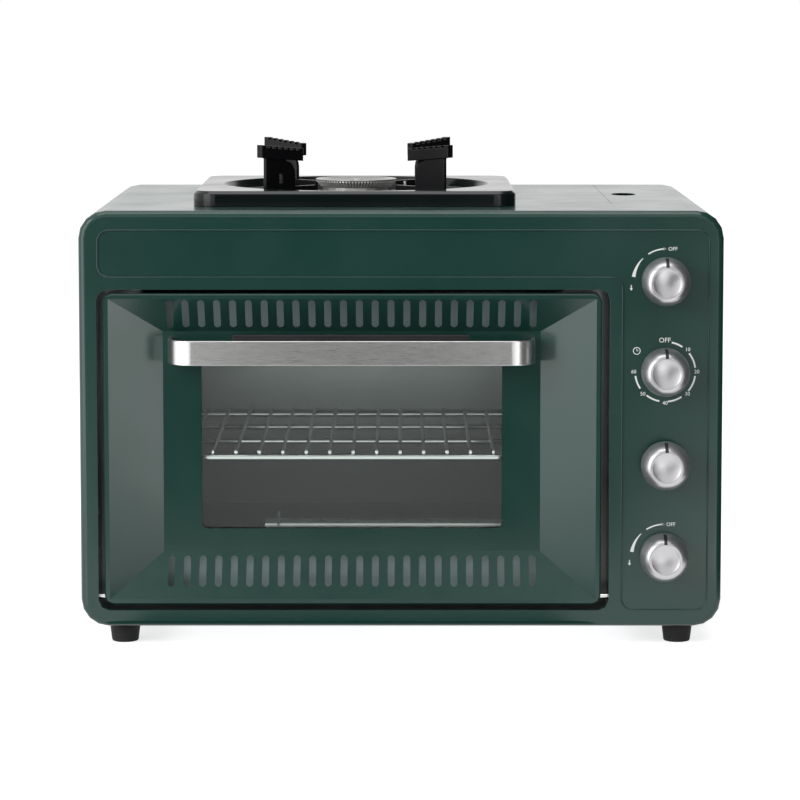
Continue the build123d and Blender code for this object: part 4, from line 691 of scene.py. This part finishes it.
bead_radius = 0.55 * MM
bead_sink = 0.25 * MM
opening_right = 158.8 * MM
opening_top_drop = 59.8 * MM
field_left_margin = 14.5 * MM
field_right_margin = 11.0 * MM
field_bottom_margin = 13.0 * MM
field_top_margin = 14.5 * MM
field_to_opening = 9.5 * MM
field_bend = 9.0 * MM
bend_steps = 8


def swept_ring(bm, path, across, radius, sides=10):
    """Closed bead of round section along points, each with its direction outwards."""
    rings = []
    for point, out in path:
        ring = []
        for i in range(sides):
            turn = 2 * math.pi * i / sides
            ring.append(bm.verts.new(point + radius * (math.cos(turn) * out + math.sin(turn) * across)))
        rings.append(ring)
    for k, ring in enumerate(rings):
        after = rings[(k + 1) % len(rings)]
        for i in range(sides):
            j = (i + 1) % sides
            bm.faces.new((ring[i], after[i], after[j], ring[j]))


def field_path(y):
    """Outline of the L-shaped field: corners with the side that each turns towards."""
    low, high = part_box("front_frame")
    left, right = low.x + field_left_margin, high.x - field_right_margin
    bottom, top = low.z + field_bottom_margin, high.z - field_top_margin
    inner_x = opening_right + field_to_opening
    inner_z = high.z - opening_top_drop + field_to_opening
    path = []
    corners = (
        (right, top, -1, -1, 0, 90),
        (left, top, 1, -1, 90, 180),
        (left, inner_z, 1, 1, 180, 270),
        (inner_x, inner_z, -1, -1, 90, 0),
        (inner_x, bottom, 1, 1, 180, 270),
        (right, bottom, -1, 1, 270, 360),
    )
    for x, z, into_x, into_z, start, end in corners:
        inward = start > end
        for i in range(bend_steps + 1):
            turn = math.radians(start + (end - start) * i / bend_steps)
            out = Vector((math.cos(turn), 0, math.sin(turn)))
            centre = Vector((x + into_x * field_bend, y, z + into_z * field_bend))
            path.append((centre + field_bend * out, -out if inward else out))
    return path


bead = bmesh.new()
swept_ring(bead, field_path(front_y + bead_sink), Vector((0, 1, 0)), bead_radius)
mesh = mesh_from(bead, "field_line", 60.0)
add_piece("field_line", mesh, finish["green_enamel"], "body")


# Repeated pieces

repeat_tree = bpy.data.node_groups.new("Repeated piece", "GeometryNodeTree")
repeat_inputs = {}
repeat_tree.interface.new_socket("Geometry", in_out="INPUT", socket_type="NodeSocketGeometry")
for label, kind in (("Piece", "NodeSocketObject"), ("Finish", "NodeSocketMaterial"), ("Size", "NodeSocketFloat")):
    repeat_inputs[label] = repeat_tree.interface.new_socket(label, in_out="INPUT", socket_type=kind).identifier
repeat_tree.interface.new_socket("Geometry", in_out="OUTPUT", socket_type="NodeSocketGeometry")
given = repeat_tree.nodes.new("NodeGroupInput")
made = repeat_tree.nodes.new("NodeGroupOutput")
source_piece = repeat_tree.nodes.new("GeometryNodeObjectInfo")
turn_of_point = repeat_tree.nodes.new("GeometryNodeInputNamedAttribute")
turn_of_point.data_type = "FLOAT_VECTOR"
turn_of_point.inputs["Name"].default_value = "turn"
as_rotation = repeat_tree.nodes.new("FunctionNodeEulerToRotation")
set_out = repeat_tree.nodes.new("GeometryNodeInstanceOnPoints")
realized = repeat_tree.nodes.new("GeometryNodeRealizeInstances")
dressed = repeat_tree.nodes.new("GeometryNodeSetMaterial")
for start, end in (
    (given.outputs["Geometry"], set_out.inputs["Points"]),
    (given.outputs["Piece"], source_piece.inputs["Object"]),
    (source_piece.outputs["Geometry"], set_out.inputs["Instance"]),
    (turn_of_point.outputs["Attribute"], as_rotation.inputs["Euler"]),
    (as_rotation.outputs["Rotation"], set_out.inputs["Rotation"]),
    (given.outputs["Size"], set_out.inputs["Scale"]),
    (set_out.outputs["Instances"], realized.inputs["Geometry"]),
    (realized.outputs["Geometry"], dressed.inputs["Geometry"]),
    (given.outputs["Finish"], dressed.inputs["Material"]),
    (dressed.outputs["Geometry"], made.inputs["Geometry"]),
):
    repeat_tree.links.new(start, end)


def repeated(name, bm, places, material, size=1.0):
    """Plain mesh of one piece set out at many places, each a point and its turn in radians."""
    piece = bpy.data.objects.new("one_piece", mesh_from(bm, "one_piece", 30.0))
    points = bpy.data.meshes.new(name)
    points.from_pydata([place for place, _ in places], [], [])
    turns = points.attributes.new("turn", "FLOAT_VECTOR", "POINT")
    for item, (_, turn) in zip(turns.data, places):
        item.vector = turn
    holder = bpy.data.objects.new(name, points)
    for thing in (piece, holder):
        bpy.context.scene.collection.objects.link(thing)
    modifier = holder.modifiers.new("Repeated piece", "NODES")
    modifier.node_group = repeat_tree
    modifier[repeat_inputs["Piece"]] = piece
    modifier[repeat_inputs["Finish"]] = material
    modifier[repeat_inputs["Size"]] = size
    bpy.context.view_layer.update()
    depsgraph = bpy.context.evaluated_depsgraph_get()
    mesh = bpy.data.meshes.new_from_object(holder.evaluated_get(depsgraph))
    for thing in (piece, holder):
        bpy.data.objects.remove(thing)
    return mesh


def screw_head(radius, height):
    """Pan head with a cross recess, standing on the origin and looking along Z."""
    bm = revolve([(radius, 0), (radius, 0.25 * height), (0.9 * radius, 0.7 * height), (0.62 * radius, height)], 24)
    top = [e for e in bm.edges if all(v.co.z > 0.99 * height for v in e.verts)]
    arm, half = 0.5 * radius, 0.13 * radius
    outline = []
    for i in range(4):
        turn = Matrix.Rotation(math.radians(90 * i), 2)
        outline += [turn @ Vector(p) for p in ((arm, -half), (arm, half), (half, half))]
    rim = [bm.verts.new((p.x, p.y, height)) for p in outline]
    pit = [bm.verts.new((0.8 * p.x, 0.8 * p.y, 0.35 * height)) for p in outline]
    edges = [bm.edges.new((rim[i], rim[(i + 1) % 12])) for i in range(12)]
    for i in range(12):
        j = (i + 1) % 12
        bm.faces.new((rim[i], rim[j], pit[j], pit[i]))
    bm.faces.new(pit)
    bmesh.ops.triangle_fill(bm, edges=top + edges, use_beauty=True)
    return bm


def parts_of(node):
    """Lowest and highest corner of each separate solid in a CAD node."""
    bm = bmesh.new()
    bm.from_mesh(nodes[node].data)
    bmesh.ops.remove_doubles(bm, verts=bm.verts, dist=same_point)
    left = set(bm.verts)
    parts = []
    for first in bm.verts:
        if first not in left:
            continue
        left.remove(first)
        todo, part = [first], []
        while todo:
            vert = todo.pop()
            part.append(vert.co.copy())
            for edge in vert.link_edges:
                other = edge.other_vert(vert)
                if other in left:
                    left.remove(other)
                    todo.append(other)
        parts.append((Vector(map(min, *part)), Vector(map(max, *part))))
    bm.free()
    return parts


back_screw_radius = 3.5 * MM
back_screw_height = 1.8 * MM
recess_turn = 37
facing_back = math.radians(-90)
back_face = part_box("back_screws")[1].y - back_screw_height
heads = []
for i, (low, high) in enumerate(parts_of("back_screws")):
    place = ((low.x + high.x) / 2, back_face, (low.z + high.z) / 2)
    heads.append((place, (facing_back, math.radians(recess_turn * i), 0)))
mesh = repeated("back_screw_heads", screw_head(back_screw_radius, back_screw_height), heads, finish["zinc_screws"])
add_piece("back_screw_heads", mesh, finish["zinc_screws"], "body", ["back_screws"])


# Burner cap

cap_low, cap_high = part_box("burner_cap")
cap_height = cap_high.z - cap_low.z
tooth_count = 80
tooth_half_width = 0.60 * MM
tooth_drop = 1.2 * MM


def cap_profile():
    """Half section of the cap: coned underside, rounded rim, dished top and small raised centre."""
    top = cap_height / MM
    underside = [(0, 0), (26.2, 0), (27.0, 0.3), (30.8, top - 1.9), (31.6, top - 1.3)]
    rim = [(32.3, top - 1.0), (32.5, top - 0.6), (32.3, top - 0.15), (31.9, top), (28.2, top)]
    dish = [(27.6, top - 0.2), (26.4, top - 1.0), (24.6, top - 1.7), (22.0, top - 2.0), (8.0, top - 2.0)]
    boss = [(6.0, top - 1.7), (5.2, top - 0.9), (4.6, top - 0.45), (0, top - 0.4)]
    return [(radius * MM, level * MM) for radius, level in underside + rim + dish + boss]


def cap_tooth():
    """One rib of the toothed ring under the cap's rim, standing out along X."""
    bm = bmesh.new()
    top = cap_height - tooth_drop
    outline = [(27.0, 0.5 * MM), (28.4, 0.5 * MM), (32.2, top - 0.9 * MM), (32.2, top), (29.5, top)]
    sides = []
    for y in (-tooth_half_width, tooth_half_width):
        sides.append([bm.verts.new((radius * MM, y, level)) for radius, level in outline])
    bm.faces.new(sides[0])
    bm.faces.new(sides[1][::-1])
    for i in range(len(outline)):
        j = (i + 1) % len(outline)
        bm.faces.new((sides[0][j], sides[0][i], sides[1][i], sides[1][j]))
    return bm


cap_base = Vector(((cap_low.x + cap_high.x) / 2, (cap_low.y + cap_high.y) / 2, cap_low.z))
round_cap = placed(revolve(cap_profile(), turned_sides), Matrix.Translation(cap_base))
tooth_places = [(tuple(cap_base), (0, 0, 2 * math.pi * i / tooth_count)) for i in range(tooth_count)]
mesh = mesh_from(round_cap, "burner_cap_turned", 30.0, recalculate=False)
add_piece("burner_cap_turned", mesh, machined_cap, "body", ["burner_cap"])
# Teeth in the lighter copy of the cap's metal, a painted highlight
mesh = repeated("burner_cap_teeth", cap_tooth(), tooth_places, milled_teeth)
add_piece("burner_cap_teeth", mesh, milled_teeth, "body")


# Wire rack

ring_wire_radius = 2.5 * MM
ring_wire_bend = 9.5 * MM


def round_wire(bm, start, end, radius, sides=14):
    """Straight drawn wire with softly rounded ends."""
    axis = Vector(end) - Vector(start)
    length = axis.length
    profile = [(0, 0), (0.85 * radius, 0), (0.96 * radius, 0.08 * radius), (radius, 0.25 * radius)]
    profile += [(width, length - level) for width, level in profile[::-1]]
    turn = axis.to_track_quat("Z", "Y").to_matrix().to_4x4()
    join_into(bm, placed(revolve(profile, sides), Matrix.Translation(start) @ turn))


def bent_wire(bm, low, high, level, radius, bend, sides=16):
    """Closed wire bent round a rectangle, whose outer limits are given."""
    path = []
    corners = ((high.x, high.y, 0), (low.x, high.y, 90), (low.x, low.y, 180), (high.x, low.y, 270))
    for x, y, first in corners:
        cx = x - math.copysign(bend + radius, x - (low.x + high.x) / 2)
        cy = y - math.copysign(bend + radius, y - (low.y + high.y) / 2)
        for i in range(bend_steps + 1):
            turn = math.radians(first + 90 * i / bend_steps)
            out = Vector((math.cos(turn), math.sin(turn), 0))
            path.append((Vector((cx, cy, level)) + out * bend, out))
    swept_ring(bm, path, Vector((0, 0, 1)), radius, sides)


def make_round_rack():
    """The rack in round wire, laid where the CAD's own wires lie."""
    bm = bmesh.new()
    ring = []
    for low, high in parts_of("oven_rack"):
        size = high - low
        middle = (low + high) / 2
        if size.z > 1.9 * ring_wire_radius:
            ring.append((low, high))
        elif size.x > size.y:
            round_wire(bm, (low.x, middle.y, middle.z), (high.x, middle.y, middle.z), size.z / 2)
        else:
            round_wire(bm, (middle.x, low.y, middle.z), (middle.x, high.y, middle.z), size.z / 2)
    low = Vector([min(part[0][i] for part in ring) for i in range(3)])
    high = Vector([max(part[1][i] for part in ring) for i in range(3)])
    bent_wire(bm, low, high, (low.z + high.z) / 2, ring_wire_radius, ring_wire_bend)
    return mesh_from(bm, "oven_rack_wires", 60.0)


add_piece("oven_rack_wires", make_round_rack(), finish["chromed_wire"], "rack", ["oven_rack"])


# Studio

floor_size = 14.0
floor_colour = 0.72
floor_glow = 0.72
# Light from all round; the camera, gloss and glass see it at a strength of 1
sky_fill = 0.42
card_lift = 2.0 * MM
floor_card_lift = 1.0 * MM

bm = bmesh.new()
bmesh.ops.create_grid(bm, x_segments=1, y_segments=1, size=floor_size)
floor_mesh = bpy.data.meshes.new("floor")
bm.to_mesh(floor_mesh)
bm.free()
floor = bpy.data.objects.new("floor", floor_mesh)
bpy.context.scene.collection.objects.link(floor)


def direct_rays(tree):
    """One for a ray that the camera, a gloss or a glass sends, else none."""
    rays = add_node(tree, "ShaderNodeLightPath")
    seen = math_node(tree, "ADD", rays.outputs["Is Camera Ray"], rays.outputs["Is Glossy Ray"])
    return math_node(tree, "ADD", seen, rays.outputs["Is Transmission Ray"], clamp=True)


def make_floor_finish():
    """Pale floor that the camera sees as white but for the object's shadow."""
    material, tree, shader = new_finish("pale_floor")
    tree.nodes.remove(shader)
    matte = add_node(tree, "ShaderNodeBsdfDiffuse")
    matte.inputs["Color"].default_value = (floor_colour, floor_colour, floor_colour, 1)
    glow = add_node(tree, "ShaderNodeEmission")
    tree.links.new(math_node(tree, "MULTIPLY", direct_rays(tree), floor_glow), glow.inputs["Strength"])
    both = add_node(tree, "ShaderNodeAddShader")
    tree.links.new(matte.outputs[0], both.inputs[0])
    tree.links.new(glow.outputs[0], both.inputs[1])
    tree.links.new(both.outputs[0], tree.nodes["Material Output"].inputs["Surface"])
    return material


floor_mesh.materials.append(make_floor_finish())

world = bpy.data.worlds.new("studio")
bpy.context.scene.world = world
world.use_nodes = True
sky = world.node_tree
background = sky.nodes["Background"]
background.inputs["Color"].default_value = (1.0, 1.0, 1.0, 1.0)
sky.links.new(spread(sky, direct_rays(sky), 0.0, 1.0, sky_fill, 1.0), background.inputs["Strength"])


def softbox(name, place, target, width, height, power):
    """Rectangular studio lamp turned towards a point."""
    lamp = bpy.data.lights.new(name, "AREA")
    lamp.shape = "RECTANGLE"
    lamp.size = width
    lamp.size_y = height
    lamp.energy = power
    holder = bpy.data.objects.new(name, lamp)
    holder.location = place
    holder.rotation_euler = (Vector(target) - Vector(place)).to_track_quat("-Z", "Y").to_euler()
    holder.visible_camera = False
    bpy.context.scene.collection.objects.link(holder)


aim = (0, 0, 0.18)
softbox("right_softbox", (2.4, -2.0, 1.1), aim, 1.3, 1.8, 12)
softbox("left_softbox", (-2.4, -1.8, 1.3), aim, 1.3, 1.8, 58)
softbox("top_softbox", (0, -0.6, 2.6), aim, 2.4, 1.6, 24)


def reflection_card(name, corners, glow):
    """Studio card that only glossy surfaces show, at a level between black and a bright panel."""
    mesh = bpy.data.meshes.new(name)
    mesh.from_pydata(corners, [], [(0, 1, 2, 3)])
    card = bpy.data.objects.new(name, mesh)
    bpy.context.scene.collection.objects.link(card)
    black, white = (0.0, 0.0, 0.0, 1.0), (1.0, 1.0, 1.0, 1.0)
    material, _, _ = new_finish(
        name, Base_Color=black, Specular_IOR_Level=0.0, Emission_Color=white, Emission_Strength=glow
    )
    mesh.materials.append(material)
    card.visible_camera = False
    card.visible_shadow = False
    card.visible_diffuse = False
    card.visible_transmission = False


def flat_card(name, x_range, y_range, level, glow):
    """Level card, given by its two X, its two Y and its height."""
    (x0, x1), (y0, y1) = x_range, y_range
    reflection_card(name, [(x0, y0, level), (x1, y0, level), (x1, y1, level), (x0, y1, level)], glow)


def floor_strip(name, near, far, glow):
    """Card on the floor between a near and a far edge, each given as Y and its two X."""
    (near_y, near_left, near_right), (far_y, far_left, far_right) = near, far
    outline = ((near_left, near_y), (near_right, near_y), (far_right, far_y), (far_left, far_y))
    reflection_card(name, [(x, y, floor_card_lift) for x, y in outline], glow)


def side_card(name, x, y_range, height, glow):
    """Upright card beside the object, given by its X, its two Y and its top."""
    y0, y1 = y_range
    reflection_card(name, [(x, y0, card_lift), (x, y1, card_lift), (x, y1, height), (x, y0, height)], glow)


floor_strip("near_floor_card", (front_y - 2.0 * MM, -0.23, 0.15), (front_y - 0.15, -0.20, 0.12), 0.04)
floor_strip("far_floor_card", (-0.55, -0.25, 0.18), (-6.0, -1.0, 0.85), 0.02)
flat_card("overhead_card", (-0.30, 0.14), (-1.7, -0.6), 1.3, 0.35)
floor_strip("right_floor_card", (-0.50, 0.23, 0.36), (-1.25, 0.78, 1.10), 3.2)
floor_strip("left_floor_card", (-0.30, -0.42, -0.30), (-1.25, -0.95, -0.50), 2.5)
side_card("right_card", 1.10, (-1.65, -1.05), 0.9, 3.6)
reflection_card("far_dark_card", [(-1.0, -6.0, 0), (0.85, -6.0, 0), (0.85, -6.0, 1.1), (-1.0, -6.0, 1.1)], 0.02)
side_card("left_card", -0.95, (-1.5, -0.45), 0.9, 2.8)
side_card("right_dark_card", 0.42, (-0.56, 0.6), 1.0, 0.03)

# Camera

camera_side = -0.78 * MM
camera_height = 0.50176
camera_distance = 2.574
camera_pitch = 5.572
camera_lens = 153.29
camera_shift = -0.1
camera = bpy.data.objects.new("camera", bpy.data.cameras.new("camera"))
camera.data.lens = camera_lens
camera.data.sensor_width = 36
camera.data.shift_y = camera_shift
camera.location = (camera_side, front_y - camera_distance, camera_height)
camera.rotation_euler = (math.radians(90 - camera_pitch), 0, 0)
bpy.context.scene.collection.objects.link(camera)
bpy.context.scene.camera = camera
bpy.context.scene.view_settings.view_transform = "Standard"
